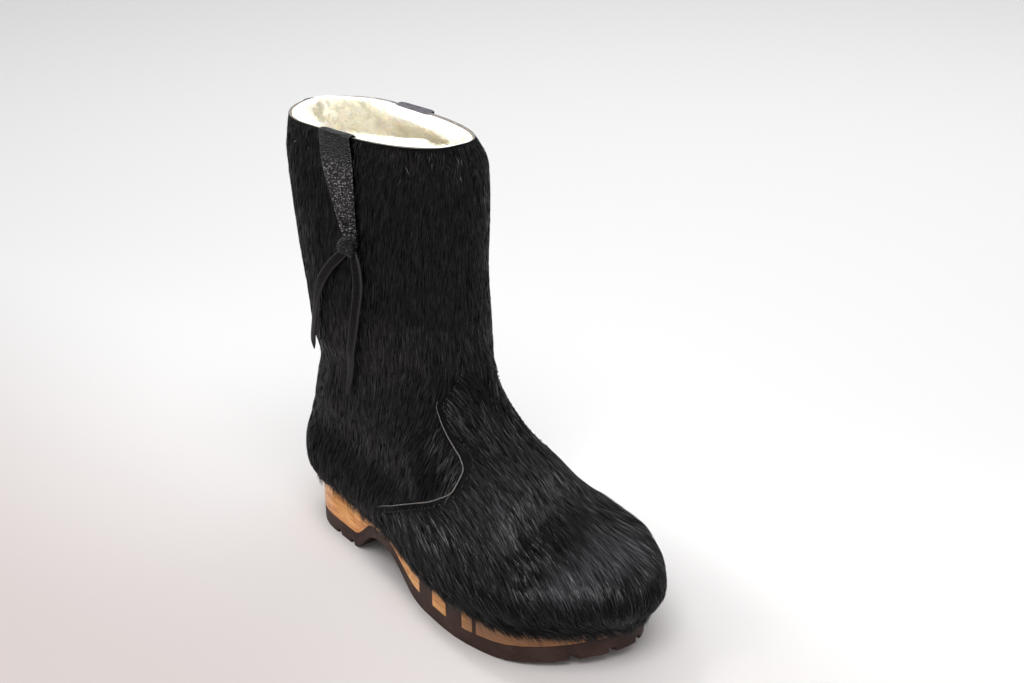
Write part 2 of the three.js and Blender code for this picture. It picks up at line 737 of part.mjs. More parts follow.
function thong(rows) {
  const stand = (row) => clearance + (row.lift + 0.5) * thongThickness;
  const centres = rows.map((row) => placeOnSide(row.along, row.drop, stand(row)));
  return loft(rows.map((row, i) => {
    const before = centres[Math.max(i - 1, 0)].point;
    const after = centres[Math.min(i + 1, rows.length - 1)].point;
    const along = after.clone().sub(before).normalize();
    const across = along.clone().cross(centres[i].normal).normalize();
    const out = across.clone().cross(along).normalize();
    const corners = [[-1, -1], [0, -1], [1, -1], [1, 1], [0, 1], [-1, 1]];
    return corners.map(([a, b]) => centres[i].point.clone()
      .addScaledVector(across, (a * row.width * thongWidth) / 2)
      .addScaledVector(out, (b * thongThickness) / 2));
  }));
}

function makeTassel() {
  const stand = clearance + knotThickness / 2;
  const { point, normal } = placeOnSide(knotPlace.along, knotPlace.drop, stand);
  const across = new THREE.Vector3(0, 0, 1).cross(normal).normalize();
  const up = normal.clone().cross(across).normalize();
  const frame = new THREE.Matrix4().makeBasis(across, up, normal).setPosition(point);
  const core = new THREE.SphereGeometry(0.5, 12, 8);
  core.scale(knotWidth, knotHeight, knotThickness);
  core.applyMatrix4(frame);
  const wrap = new THREE.TorusGeometry(knotHeight * 0.36, thongThickness, 7, 14);
  wrap.scale(1, 1, 1.25);
  wrap.rotateY(Math.PI / 2 - 0.35);
  wrap.rotateZ(0.5);
  wrap.applyMatrix4(frame);
  return fromGeometry(core).add(fromGeometry(wrap)).add(thong(rearThong)).add(thong(frontThong))
    .subtract(makePullStrap(clearance)).subtract(wallSpace);
}

// Materials
const hide = new THREE.MeshStandardMaterial({ color: 0x1b1b1c, roughness: 0.55 });
const shearling = new THREE.MeshStandardMaterial({ color: 0xf1e8cf, roughness: 0.95 });
const leather = new THREE.MeshStandardMaterial({ color: 0x2c2b2c, roughness: 0.6 });
const wood = new THREE.MeshStandardMaterial({ color: 0xc88a48, roughness: 0.5 });
const rubber = new THREE.MeshStandardMaterial({ color: 0x43302a, roughness: 0.7 });

function addPiece(group, name, solid, material) {
  const { vertProperties, triVerts } = mainBody(solid).getMesh();
  const geometry = new THREE.BufferGeometry();
  geometry.setAttribute('position', new THREE.BufferAttribute(Float32Array.from(vertProperties), 3));
  geometry.setIndex(new THREE.BufferAttribute(Uint32Array.from(triVerts), 1));
  geometry.computeVertexNormals();
  const mesh = new THREE.Mesh(geometry, material);
  mesh.name = name;
  group.add(mesh);
}

const boot = new THREE.Group();
addPiece(boot, 'outsole', makeOutsole(), rubber);
addPiece(boot, 'wood_sole', makeWoodSole(), wood);
addPiece(boot, 'insole', makeInsole(), shearling);
addPiece(boot, 'upper', makeUpper(), hide);
addPiece(boot, 'collar_fleece', makeCollarFleece(), shearling);
addPiece(boot, 'pull_strap', makePullStrap(0).subtract(wallSpace), leather);
addPiece(boot, 'medial_tab', makeMedialTab(0).subtract(wallSpace), leather);
addPiece(boot, 'back_tab', makeBackTab(0).subtract(wallSpace), leather);
addPiece(boot, 'tassel', makeTassel(), leather);

// The origin goes to the middle of the footprint box, on the floor
const bounds = new THREE.Box3().setFromObject(boot);
const centre = bounds.getCenter(new THREE.Vector3());
boot.position.set(-centre.x, -centre.y, -bounds.min.z);

export default boot;
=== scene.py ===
import math

import bmesh
import bpy
import numpy as np
from mathutils import Matrix, Vector


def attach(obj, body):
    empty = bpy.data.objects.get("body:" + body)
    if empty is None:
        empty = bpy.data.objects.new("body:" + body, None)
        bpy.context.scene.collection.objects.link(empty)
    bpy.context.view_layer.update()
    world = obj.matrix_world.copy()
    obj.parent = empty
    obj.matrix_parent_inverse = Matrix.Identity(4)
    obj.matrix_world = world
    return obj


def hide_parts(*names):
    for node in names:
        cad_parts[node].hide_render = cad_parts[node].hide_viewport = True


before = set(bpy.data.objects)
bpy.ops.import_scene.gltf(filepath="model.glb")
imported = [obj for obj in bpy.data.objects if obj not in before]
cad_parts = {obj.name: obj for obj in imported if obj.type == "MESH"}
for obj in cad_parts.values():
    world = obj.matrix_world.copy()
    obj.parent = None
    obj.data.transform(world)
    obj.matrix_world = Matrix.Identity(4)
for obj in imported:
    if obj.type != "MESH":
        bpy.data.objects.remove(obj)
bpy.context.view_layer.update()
rng = np.random.default_rng(7)
mm = 0.001

# A fur-covered clog boot for the right foot. Lengths are in millimetres in the boot's own
# plan: x from the back of the heel to the toe, y to the inner side, z up from the floor.
boot = {
    "soleLength": 262.0,
    "ballWidth": 100.0,
    "heelEdge": 33.0,
    "toeEdge": 25.0,
    "ankle": 141.0,
    "height": 266.0,
    "shaftLength": 141.0,
    "shaftWidth": 82.0,
    "ankleTilt": 18.0,
    "wall": 3.0,
    "heelSeat": 44.0,
    "vampStep": 1.1,
    "furDepth": 1.1,  # the hide lies this far under the outline that the hair makes
    "origin": (124.26, -0.46, 0.0),  # the frame's origin in the boot's plan
}


def readTable(names, rows):
    return [dict(zip(names.split(), row)) for row in rows]


def toFrame(points):
    # from the boot's plan in millimetres to the frame in metres
    return (np.asarray(points, float) - np.array(boot["origin"])) * mm


# Camera

camera = {
    "azimuth": 48.3,
    "elevation": 22.5,
    "roll": -0.33,
    "distance": 921.0,
    "focalPixels": 1500.0,
    "target": (110.0, 57.0, 130.0),
    "imageWidth": 1024,
}


def makeCamera():
    az, el, roll = (math.radians(camera[k]) for k in ("azimuth", "elevation", "roll"))
    back = Vector((math.sin(az) * math.cos(el), -math.cos(az) * math.cos(el), math.sin(el)))
    right = Vector((math.cos(az), math.sin(az), 0.0))
    up = back.cross(right)
    across = right * math.cos(roll) + up * math.sin(roll)
    upright = up * math.cos(roll) - right * math.sin(roll)
    target = Vector(toFrame(camera["target"]))
    place = target + back * camera["distance"] * mm
    data = bpy.data.cameras.new("camera")
    data.sensor_fit = "HORIZONTAL"
    data.sensor_width = 36.0
    data.lens = camera["focalPixels"] / camera["imageWidth"] * data.sensor_width
    data.clip_start = 0.01
    eye = bpy.data.objects.new("camera", data)
    matrix = Matrix((across, upright, back)).transposed().to_4x4()
    matrix.translation = place
    eye.matrix_world = matrix
    bpy.context.scene.collection.objects.link(eye)
    bpy.context.scene.camera = eye


makeCamera()


# Materials

def linear(hexColour):
    # sRGB hex to linear red, green, blue, alpha
    parts = [int(hexColour[i:i + 2], 16) / 255 for i in (1, 3, 5)]
    return tuple(c / 12.92 if c <= 0.04045 else ((c + 0.055) / 1.055) ** 2.4 for c in parts) + (1.0,)


def addNode(tree, kind, settings=None, links=None):
    # settings are the node's own properties, or its inputs by name or number
    node = tree.nodes.new(kind)
    for name, value in (settings or {}).items():
        if isinstance(name, str) and hasattr(node, name):
            setattr(node, name, value)
        else:
            node.inputs[name].default_value = value
    for name, source in (links or {}).items():
        tree.links.new(source, node.inputs[name])
    return node


def ramp(tree, factor, stops, interpolation="LINEAR"):
    node = addNode(tree, "ShaderNodeValToRGB", links={"Fac": factor})
    node.color_ramp.interpolation = interpolation
    while len(node.color_ramp.elements) < len(stops):
        node.color_ramp.elements.new(0.5)
    for element, (place, colour) in zip(node.color_ramp.elements, stops):
        element.position = place
        element.color = linear(colour) if isinstance(colour, str) else (colour, colour, colour, 1.0)
    return node


def newMaterial(name, shader):
    material = bpy.data.materials.new(name)
    material.use_nodes = True
    tree = material.node_tree
    tree.nodes.clear()
    principled = addNode(tree, "ShaderNodeBsdfPrincipled", shader)
    addNode(tree, "ShaderNodeOutputMaterial", links={"Surface": principled.outputs[0]})
    place = addNode(tree, "ShaderNodeTexCoord").outputs["Object"]
    return material, tree, principled, place


def patternScale(size):
    # cycles per metre of a pattern whose features are this many millimetres apart
    return 1.0 / (size * mm)


def noise(tree, place, size, detail=2.0, **settings):
    settings = {"Scale": patternScale(size), "Detail": detail, **settings}
    return addNode(tree, "ShaderNodeTexNoise", settings, {"Vector": place}).outputs["Fac"]


def attribute(tree, name):
    return addNode(tree, "ShaderNodeAttribute", {"attribute_name": name}).outputs["Fac"]


def blend(tree, first, weight, second):
    # first times weight, plus second
    node = addNode(tree, "ShaderNodeMath", {"operation": "MULTIPLY_ADD", 1: weight}, {0: first, 2: second})
    return node.outputs[0]


def colourBy(tree, principled, factor, stops):
    colour = ramp(tree, factor, stops).outputs["Color"]
    tree.links.new(colour, principled.inputs["Base Color"])


def bumpBy(tree, principled, height, strength, depth):
    settings = {"Strength": strength, "Distance": depth * mm}
    bump = addNode(tree, "ShaderNodeBump", settings, {"Height": height})
    tree.links.new(bump.outputs["Normal"], principled.inputs["Normal"])


hairLook = {
    "dark": "#020203",
    "mid": "#09090b",
    # light: the colour of the hairs that catch the light, a painted glint
    "light": "#3c3c42",
    "roughness": 0.30,
    "dullest": 0.12,  # gloss of the darkest and of the lightest hairs
    "glossiest": 0.60,
}


def makeHairMaterial():
    # Black cattle hair on the hide, combed flat and oiled: each hair is a smooth round
    # fibre, so the coat is near black with a cool grey gloss across the hair; the paler
    # colour of its high-tone hairs is a painted glint.
    material, tree, principled, _ = newMaterial("hairBlackCoat", {
        "Roughness": hairLook["roughness"],
        "IOR": 1.55,
    })
    tone = attribute(tree, "tone")
    reach = {"To Min": hairLook["dullest"], "To Max": hairLook["glossiest"]}
    gloss = addNode(tree, "ShaderNodeMapRange", reach, {"Value": tone})
    tree.links.new(gloss.outputs[0], principled.inputs["Specular IOR Level"])
    stops = [(0.0, hairLook["dark"]), (0.6, hairLook["mid"]), (1.0, hairLook["light"])]
    colourBy(tree, principled, tone, stops)
    return material


woolLook = {
    "light": "#fbf6e8",
    "mid": "#fef5e2",
    # deep: the colour of painted shade deep in the pile
    "deep": "#f7e4ba",
}


def makeWoolMaterial():
    # Sheared lambskin, tanned with its wool on: a dense cream pile of crimped fibres
    # that scatters light, its colour painted beige as shade where it lies deep.
    material, tree, principled, place = newMaterial("lambskinPile", {
        "Roughness": 0.95,
        "Specular IOR Level": 0.05,
        "Subsurface Weight": 0.7,
        "Subsurface Radius": (1.0, 0.85, 0.6),
        "Subsurface Scale": 9.0 * mm,
        "Sheen Weight": 0.25,
        "Sheen Roughness": 0.6,
        "Sheen Tint": linear("#fff8ea"),
    })
    # painted shade from the depth attribute, deeper in the collar and inside the shaft, with some noise
    shade = blend(tree, noise(tree, place, 9.0, 3.0), 0.15, attribute(tree, "depth"))
    stops = [(0.18, woolLook["light"]), (0.52, woolLook["mid"]), (1.0, woolLook["deep"])]
    colourBy(tree, principled, shade, stops)
    bumpBy(tree, principled, noise(tree, place, 1.6, 4.0, Distortion=1.4), 0.35, 0.6)
    return material


strapLook = {
    # valley: painted shade between the grains; pebble: painted highlight on their tops
    "valley": "#040404",
    "pebble": "#928c93",
    "smooth": "#0c0b0c",
    "pebbleSize": 1.9,
    "roughness": 0.48,
}


def makeStrapMaterial():
    # Milled cowhide, drum dyed charcoal and embossed with a slanting pebble: rounded
    # grains with a painted highlight on top and painted shade in the valleys between them,
    # and plain dark where the strap is stretched smooth over the collar.
    material, tree, principled, place = newMaterial("milledCowhide", {
        "Roughness": strapLook["roughness"],
        "Specular IOR Level": 0.25,
    })
    slant = addNode(tree, "ShaderNodeMapping", {"Rotation": (0.0, 0.7, 0.0), "Scale": (1.0, 1.0, 1.9)},
                    {"Vector": place})
    pebble = addNode(tree, "ShaderNodeTexVoronoi", {
        "feature": "SMOOTH_F1", "Scale": patternScale(strapLook["pebbleSize"]), "Smoothness": 0.25,
    }, {"Vector": slant.outputs[0]}).outputs["Distance"]
    grain = ramp(tree, pebble, [(0.18, strapLook["pebble"]), (0.42, strapLook["valley"])])
    # the painted grain highlight shows where paleness is high, from a little below the strap's top
    highlightMask = addNode(tree, "ShaderNodeMath", {"operation": "MULTIPLY"},
                   {0: attribute(tree, "paleness"), 1: noise(tree, place, 6.0, 3.0)})
    shown = ramp(tree, highlightMask.outputs[0], [(0.15, 0.0), (0.6, 1.0)])
    colour = addNode(tree, "ShaderNodeMix", {"data_type": "RGBA", 6: linear(strapLook["smooth"])},
                     {0: shown.outputs["Color"], 7: grain.outputs["Color"]})
    tree.links.new(colour.outputs[2], principled.inputs["Base Color"])
    bumpBy(tree, principled, blend(tree, pebble, -1.6, noise(tree, place, 0.5, 3.0)), 1.0, 0.6)
    return material


woodLook = {
    "light": "#efad62",
    "mid": "#dc8d40",
    "dark": "#af672c",
    "toe": "#6c452b",  # painted shade: the wood darker in the hair's shadow at the toe
    "ringSpacing": 2.6,
}


def makeWoodMaterial():
    # Alder, machined to the last and sealed with a clear satin lacquer: a warm orange
    # tan with fine growth lines along the foot and short darker pores.
    material, tree, principled, place = newMaterial("alderSole", {
        "Roughness": 0.42,
        "Coat Weight": 0.25,
        "Coat Roughness": 0.25,
        "Specular IOR Level": 0.4,
    })
    along = addNode(tree, "ShaderNodeMapping", {"Rotation": (0.0, 0.05, 0.04), "Scale": (0.09, 1.0, 1.0)},
                    {"Vector": place}).outputs[0]
    rings = noise(tree, along, woodLook["ringSpacing"], 3.0, Roughness=0.6)
    fine = blend(tree, noise(tree, along, 0.7), 0.35, rings)
    both = blend(tree, noise(tree, place, 38.0), 0.45, fine)
    stops = [(0.62, woodLook["dark"]), (0.86, woodLook["mid"]), (1.15, woodLook["light"])]
    colour = ramp(tree, both, stops)
    # painted shade: the wood turns darker towards the toe, in the shadow of the overhanging hair
    run = addNode(tree, "ShaderNodeSeparateXYZ", links={0: place})
    front = addNode(tree, "ShaderNodeMapRange", {"From Min": 0.035, "From Max": 0.075, "To Max": 0.85},
                    {"Value": run.outputs["X"]})
    toeShade = addNode(tree, "ShaderNodeMix", {"data_type": "RGBA", 7: linear(woodLook["toe"])},
                      {0: front.outputs[0], 6: colour.outputs["Color"]})
    tree.links.new(toeShade.outputs[2], principled.inputs["Base Color"])
    bumpBy(tree, principled, fine, 0.15, 0.2)
    return material


# Leathers, rubber and thread of one pattern: a noise drives the colour, and a noise of
# the same or a finer size roughens the surface
plainLooks = {
    # The hide under the hair: drum-dyed black leather with the stubble of fine underfur,
    # matt and finely rough.
    "hideUnderHair": {
        "shader": {"Base Color": linear("#040405"), "Roughness": 0.75, "Specular IOR Level": 0.12},
        "bump": (1.2, 3.0, 0.6, 0.4),
    },
    # The cut edge of the hide at the collar and the vamp: raw vegetable-tanned fibres,
    # pale grey and matt.
    "hideCutEdge": {
        "shader": {"Roughness": 0.8},
        "colour": (1.0, 4.0, 0.5, [(0.3, "#4d4a49"), (0.7, "#7d7874")]),
    },
    # Thong leather: a flat strip cut from the same dyed cowhide, finer in grain, its
    # edges a little lighter in colour.
    "thongLeather": {
        "shader": {"Roughness": 0.55, "Specular IOR Level": 0.1},
        "colour": (1.1, 4.0, 0.5,
                   [(0.17, "#030303"), (0.25, "#0a090a"), (0.36, "#1a191a"), (1.0, "#3d3b3c")]),
        "edges": "paleness",
        "bump": (1.1, 4.0, 0.6, 0.3),
    },
    # The flesh side of the same cowhide, turned outwards on the laps: a short grey nap,
    # dusty and matt, with paler rubbed patches.
    "cowhideFleshSide": {
        "shader": {"Roughness": 0.75},
        "colour": (2.2, 5.0, 0.5, [(0.3, "#1b191d"), (0.75, "#57525b")]),
        "bump": (2.2, 5.0, 0.6, 0.3),
    },
    # Moulded brown styrene rubber from a spark-eroded mould: an even fine texture, dull,
    # a little paler where it has dust and scuffs.
    "mouldedBrownRubber": {
        "shader": {"Roughness": 0.68, "Specular IOR Level": 0.25},
        "colour": (22.0, 5.0, 0.65, [(0.35, "#301f19"), (0.8, "#4f3b35")]),
        "bump": (0.8, 3.0, 0.35, 0.2),
    },
    # Waxed polyester sewing thread, near black, with a slight gloss.
    "waxedThread": {
        "shader": {"Roughness": 0.4},
        "colour": (0.4, 2.0, 0.5, [(0.3, "#101010"), (0.7, "#3c3a3a")]),
    },
}


def makePlainMaterial(name):
    # colour: size, detail and roughness of its noise, and its stops; bump: size and
    # detail of its noise, strength and depth
    look = plainLooks[name]
    material, tree, principled, place = newMaterial(name, look["shader"])
    if "colour" in look:
        size, detail, roughness, stops = look["colour"]
        factor = noise(tree, place, size, detail, Roughness=roughness)
        if "edges" in look:
            factor = blend(tree, factor, 0.5, attribute(tree, look["edges"]))
        colourBy(tree, principled, factor, stops)
    if "bump" in look:
        size, detail, strength, depth = look["bump"]
        bumpBy(tree, principled, noise(tree, place, size, detail), strength, depth)
    return material


hair = makeHairMaterial()
wool = makeWoolMaterial()
strapLeather = makeStrapMaterial()
alder = makeWoodMaterial()
hide, cutEdge, thongLeather, lapLeather, rubber, thread = (makePlainMaterial(name) for name in plainLooks)
print("materials made")


# Meshes from arrays

def newMesh(name, points, loops, sizes, materials, attributes=None, faceMaterial=None):
    # from flat arrays: the corners' points one face after the other, and the faces' sizes
    mesh = bpy.data.meshes.new(name)
    mesh.vertices.add(len(points))
    mesh.vertices.foreach_set("co", np.asarray(points, np.float32).ravel())
    mesh.loops.add(len(loops))
    mesh.loops.foreach_set("vertex_index", np.asarray(loops, np.int32))
    starts = np.concatenate([[0], np.cumsum(sizes)[:-1]])
    mesh.polygons.add(len(sizes))
    mesh.polygons.foreach_set("loop_start", starts.astype(np.int32))
    mesh.update(calc_edges=True)
    for material in materials:
        mesh.materials.append(material)
    if faceMaterial is not None:
        mesh.polygons.foreach_set("material_index", np.asarray(faceMaterial, np.int32))
    mesh.polygons.foreach_set("use_smooth", np.full(len(mesh.polygons), True))
    for layerName, values in (attributes or {}).items():
        layer = mesh.attributes.new(layerName, "FLOAT", "POINT")
        layer.data.foreach_set("value", np.asarray(values, np.float32))
    mesh.validate()
    mesh.update()
    piece = bpy.data.objects.new(name, mesh)
    bpy.context.scene.collection.objects.link(piece)
    return piece


def newPiece(name, points, faces, materials, attributes=None, faceMaterial=None):
    # from points in the boot's plan, and faces as lists of their numbers
    loops = np.concatenate([np.asarray(face) for face in faces])
    sizes = [len(face) for face in faces]
    return newMesh(name, toFrame(points), loops, sizes, materials, attributes, faceMaterial)


def newBlades(name, points, material, layer, values):
    # tapering blades, each a row of point pairs that ends in one point
    count, each = points.shape[:2]
    start = np.arange(count)[:, None] * each
    loops = [start + [k, k + 1, k + 3, k + 2] for k in range(0, each - 3, 2)]
    sizes = [4] * len(loops) + [3]
    loops.append(start + [each - 3, each - 2, each - 1])
    loops = np.concatenate(loops, 1).ravel()
    values = {layer: np.repeat(values, each)}
    return newMesh(name, toFrame(points.reshape(-1, 3)), loops, np.tile(sizes, count), [material], values)


def cleanMesh(mesh, merge=0.0, flat=0.0, outward=True):
    # merges points closer than this in millimetres, joins faces flatter than this in degrees
    work = bmesh.new()
    work.from_mesh(mesh)
    if merge:
        bmesh.ops.remove_doubles(work, verts=work.verts, dist=merge * mm)
    if flat:
        bmesh.ops.dissolve_limit(work, angle_limit=math.radians(flat), verts=work.verts, edges=work.edges)
    if outward:
        bmesh.ops.recalc_face_normals(work, faces=work.faces)
    work.to_mesh(mesh)
    work.free()


def gridFaces(rows, columns, closeRows=False, closeColumns=False):
    # quads of a rows by columns grid of points, each row following the one before
    r = np.arange(rows if closeRows else rows - 1)
    c = np.arange(columns if closeColumns else columns - 1)
    r, c = np.meshgrid(r, c, indexing="ij")
    r2 = (r + 1) % rows
    c2 = (c + 1) % columns
    quads = [r * columns + c, r * columns + c2, r2 * columns + c2, r2 * columns + c]
    return np.stack(quads, -1).reshape(-1, 4)


def dress(piece, slot, *nodes):
    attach(piece, "root")
    if nodes:
        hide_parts(*nodes)


# The upper's form: the sections of the last, as in the hide's own pattern

# half widths as shares of the ball width, at shares of the sole's length
planRows = readTable("at lateral medial", [
    (0, 0.26, 0.26),
    (0.06, 0.28, 0.28),
    (0.12, 0.295, 0.295),
    (0.25, 0.33, 0.3),
    (0.42, 0.38, 0.27),
    (0.58, 0.48, 0.35),
    (0.7, 0.515, 0.465),
    (0.82, 0.48, 0.505),
    (0.92, 0.41, 0.47),
    (1, 0.32, 0.41),
])
# from the sole's edge up to the ankle
footRows = readTable("back backUp front frontUp swell fit oval half heel toe toeY", [
    (-0.008, 0, 1.004, 0, 0.03, 1, 0, 0.4, 0.13, 0.2, 0.1),
    (-0.015, 0.111, 1.022, 0.108, 0.068, 1.05, 0, 0.4, 0.13, 0.2, 0.1),
    (-0.029, 0.231, 1.006, 0.194, 0.057, 1.05, 0, 0.4, 0.14, 0.22, 0.1),
    (-0.034, 0.324, 0.966, 0.26, 0.028, 1.02, 0, 0.4, 0.15, 0.26, 0.1),
    (-0.031, 0.398, 0.895, 0.326, 0.016, 0.98, 0.05, 0.4, 0.16, 0.32, 0.09),
    (-0.015, 0.472, 0.8, 0.436, 0.02, 0.95, 0.1, 0.385, 0.18, 0.38, 0.08),
    (0, 0.546, 0.713, 0.548, 0.031, 0.95, 0.25, 0.365, 0.22, 0.42, 0.07),
    (0.011, 0.639, 0.628, 0.672, 0.03, 0.95, 0.5, 0.345, 0.28, 0.45, 0.06),
    (0.011, 0.759, 0.566, 0.852, 0, 0.95, 0.8, 0.345, 0.36, 0.48, 0.05),
])
# from the ankle up to the collar
shaftRows = readTable("middle long wide up tilt backY frontY heel toe blunt point", [
    (0.262, 1, 0.99, 0, 1, 0.035, 0.06, 0.45, 0.5, 0.5, 0.5),
    (0.25, 1, 1.05, 0.18, 0.95, 0.045, 0.07, 0.46, 0.5, 0.5, 0.5),
    (0.234, 1.01, 1.06, 0.41, 0.83, 0.05, 0.1, 0.43, 0.5, 0.48, 0.52),
    (0.226, 1.03, 1.05, 0.62, 0.72, 0.05, 0.12, 0.4, 0.5, 0.46, 0.5),
    (0.214, 1.04, 1.01, 0.83, 0.5, 0.055, 0.13, 0.35, 0.5, 0.46, 0.44),
    (0.194, 1.05, 0.895, 1, 0, 0.1, 0.05, 0.3, 0.5, 0.6, 0.34),
])


def curveThrough(places, values):
    # a smooth curve through a short table that never overshoots between its rows
    places = np.asarray(places, float)
    values = np.asarray(values, float)
    step = np.diff(places)
    rate = np.diff(values) / step
    slope = np.empty_like(values)
    slope[0], slope[-1] = rate[0], rate[-1]
    before = 2 * step[1:] + step[:-1]
    after = step[1:] + 2 * step[:-1]
    turns = rate[:-1] * rate[1:] <= 0
    left = np.where(turns, 1.0, rate[:-1])
    right = np.where(turns, 1.0, rate[1:])
    slope[1:-1] = np.where(turns, 0.0, (before + after) / (before / left + after / right))

    def at(place):
        x = np.clip(place, places[0], places[-1])
        i = np.clip(np.searchsorted(places, x, side="left") - 1, 0, len(places) - 2)
        h = step[i]
        s = (x - places[i]) / h
        rise = s * s * (3 - 2 * s)
        bend = h * s * (1 - s) * (slope[i] * (1 - s) - slope[i + 1] * s)
        return values[i] * (1 - rise) + values[i + 1] * rise + bend

    return at


def tableCurve(rows, place, column):
    return curveThrough([row[place] for row in rows], [row[column] for row in rows])


lateralShare = tableCurve(planRows, "at", "lateral")
medialShare = tableCurve(planRows, "at", "medial")


def buildSections():
    rows = []
    for r in footRows:
        rows.append({
            "backX": r["back"] * boot["soleLength"] - r["swell"] * boot["ballWidth"],
            "backZ": boot["heelEdge"] + r["backUp"] * (boot["ankle"] - boot["heelEdge"]),
            "frontX": r["front"] * boot["soleLength"] + r["swell"] * boot["ballWidth"],
            "frontZ": boot["toeEdge"] + r["frontUp"] * (boot["ankle"] - boot["toeEdge"]),
            "swell": r["swell"] * boot["ballWidth"], "fit": r["fit"], "oval": r["oval"],
            "half": r["half"] * boot["ballWidth"], "heel": r["heel"], "toe": r["toe"],
            "blunt": 0.5, "point": 0.5, "backY": 0.0, "frontY": r["toeY"] * boot["ballWidth"],
        })
    for r in shaftRows:
        centre = boot["ankle"] + r["up"] * (boot["height"] - boot["ankle"])
        rows.append({
            "backX": r["middle"] * boot["soleLength"] - r["long"] * boot["shaftLength"] / 2,
            "backZ": centre - r["tilt"] * boot["ankleTilt"] / 2,
            "frontX": r["middle"] * boot["soleLength"] + r["long"] * boot["shaftLength"] / 2,
            "frontZ": centre + r["tilt"] * boot["ankleTilt"] / 2,
            "swell": 0.0, "fit": 1.0, "oval": 1.0, "half": r["wide"] * boot["shaftWidth"] / 2,
            "heel": r["heel"], "toe": r["toe"], "blunt": r["blunt"], "point": r["point"],
            "backY": r["backY"] * boot["shaftWidth"], "frontY": r["frontY"] * boot["shaftWidth"],
        })
    return rows


sections = buildSections()
topLevel = len(sections) - 1
column = {name: curveThrough(range(len(sections)), [row[name] for row in sections]) for name in sections[0]}


def endRound(distance, reach, power):
    # how far an outline has closed in towards its end point
    c = np.maximum(1 - distance / reach, 0)
    return np.maximum(1 - c * c, 0) ** power


def lastPoint(angle, level):
    # Point of the last's outside. The angle runs from the back along the outer side to the
    # front and back along the inner side; each section is a plan closed in at both ends.
    t = (1 - np.cos(angle)) / 2
    side = np.where(np.sin(angle) >= 0, -1.0, 1.0)
    x = column["backX"](level) * (1 - t) + column["frontX"](level) * t
    z = column["backZ"](level) * (1 - t) + column["frontZ"](level) * t
    rounding = endRound(t, column["heel"](level), column["blunt"](level))
    rounding = rounding * endRound(1 - t, column["toe"](level), column["point"](level))
    middle = column["backY"](level) * (1 - t) + column["frontY"](level) * t
    share = np.clip(x / boot["soleLength"], 0, 1)
    plan = np.where(side < 0, lateralShare(share), medialShare(share)) * boot["ballWidth"] * side
    soleSide = plan * column["fit"](level) + side * column["swell"](level)
    ovalSide = middle + side * column["half"](level)
    oval = column["oval"](level)
    edge = soleSide * (1 - oval) + ovalSide * oval
    return np.stack([x, middle + (edge - middle) * rounding, z], -1)


def unit(v):
    return v / np.maximum(np.linalg.norm(v, axis=-1, keepdims=True), 1e-9)


def lastNormal(angle, level):
    da, dl = 0.03, 0.05
    around = lastPoint(angle + da, level) - lastPoint(angle - da, level)
    up = lastPoint(angle, np.minimum(level + dl, topLevel)) - lastPoint(angle, np.maximum(level - dl, 0))
    return unit(np.cross(around, up))


def sidePlace(x, z, side):
    # angle and level of the surface at a place given in the side view, found by halving
    x, z = np.broadcast_arrays(np.asarray(x, float), np.asarray(z, float))
    low = np.zeros(x.shape)
    high = np.full(x.shape, float(topLevel))

    def share(level):
        back, front = column["backX"](level), column["frontX"](level)
        return np.clip((x - back) / (front - back), 0, 1)

    for _ in range(34):
        level = (low + high) / 2
        t = share(level)
        under = column["backZ"](level) * (1 - t) + column["frontZ"](level) * t < z
        low = np.where(under, level, low)
        high = np.where(under, high, level)
    turn = np.arccos(1 - 2 * share(low))
    return (turn if side < 0 else 2 * np.pi - turn), low


# Seam of the vamp in the side view, as shares of the sole's length and the ankle's height
vampSeam = [
    (0.62, 1.030), (0.525, 1.000), (0.512, 0.900), (0.505, 0.850), (0.522, 0.800), (0.550, 0.752),
    (0.583, 0.708), (0.607, 0.680), (0.630, 0.640), (0.635, 0.585), (0.610, 0.545), (0.552, 0.490),
    (0.468, 0.415), (0.388, 0.340), (0.340, 0.200),
]


def runAlong(points):
    # distance along a path to each of its points
    return np.concatenate([[0], np.cumsum(np.linalg.norm(np.diff(points, axis=0), axis=1))])


def smoothPath(points, count):
    # a curve through the points, evenly spaced along its length
    points = np.asarray(points, float)
    run = runAlong(points)
    curves = [curveThrough(run, points[:, k]) for k in range(points.shape[1])]
    along = np.linspace(0, run[-1], count)
    return np.stack([curve(along) for curve in curves], -1)


seamLine = smoothPath(np.array(vampSeam) * [boot["soleLength"], boot["ankle"]], 90)


def seamDistance(x, z):
    # distance from the seam in the side view, positive on the vamp
    flat = np.stack([np.ravel(x), np.ravel(z)], -1)
    best = np.full(len(flat), 1e9)
    for a, b in zip(seamLine[:-1], seamLine[1:]):
        ab = b - a
        s = np.clip((flat - a) @ ab / (ab @ ab), 0, 1)
        best = np.minimum(best, np.linalg.norm(flat - a - s[:, None] * ab, axis=1))
    edgeX = np.interp(flat[:, 1], seamLine[::-1, 1], seamLine[::-1, 0])
    front = (flat[:, 0] > edgeX) & (flat[:, 1] < 1.02 * boot["ankle"])
    return np.where(front, best, -best).reshape(np.shape(x))


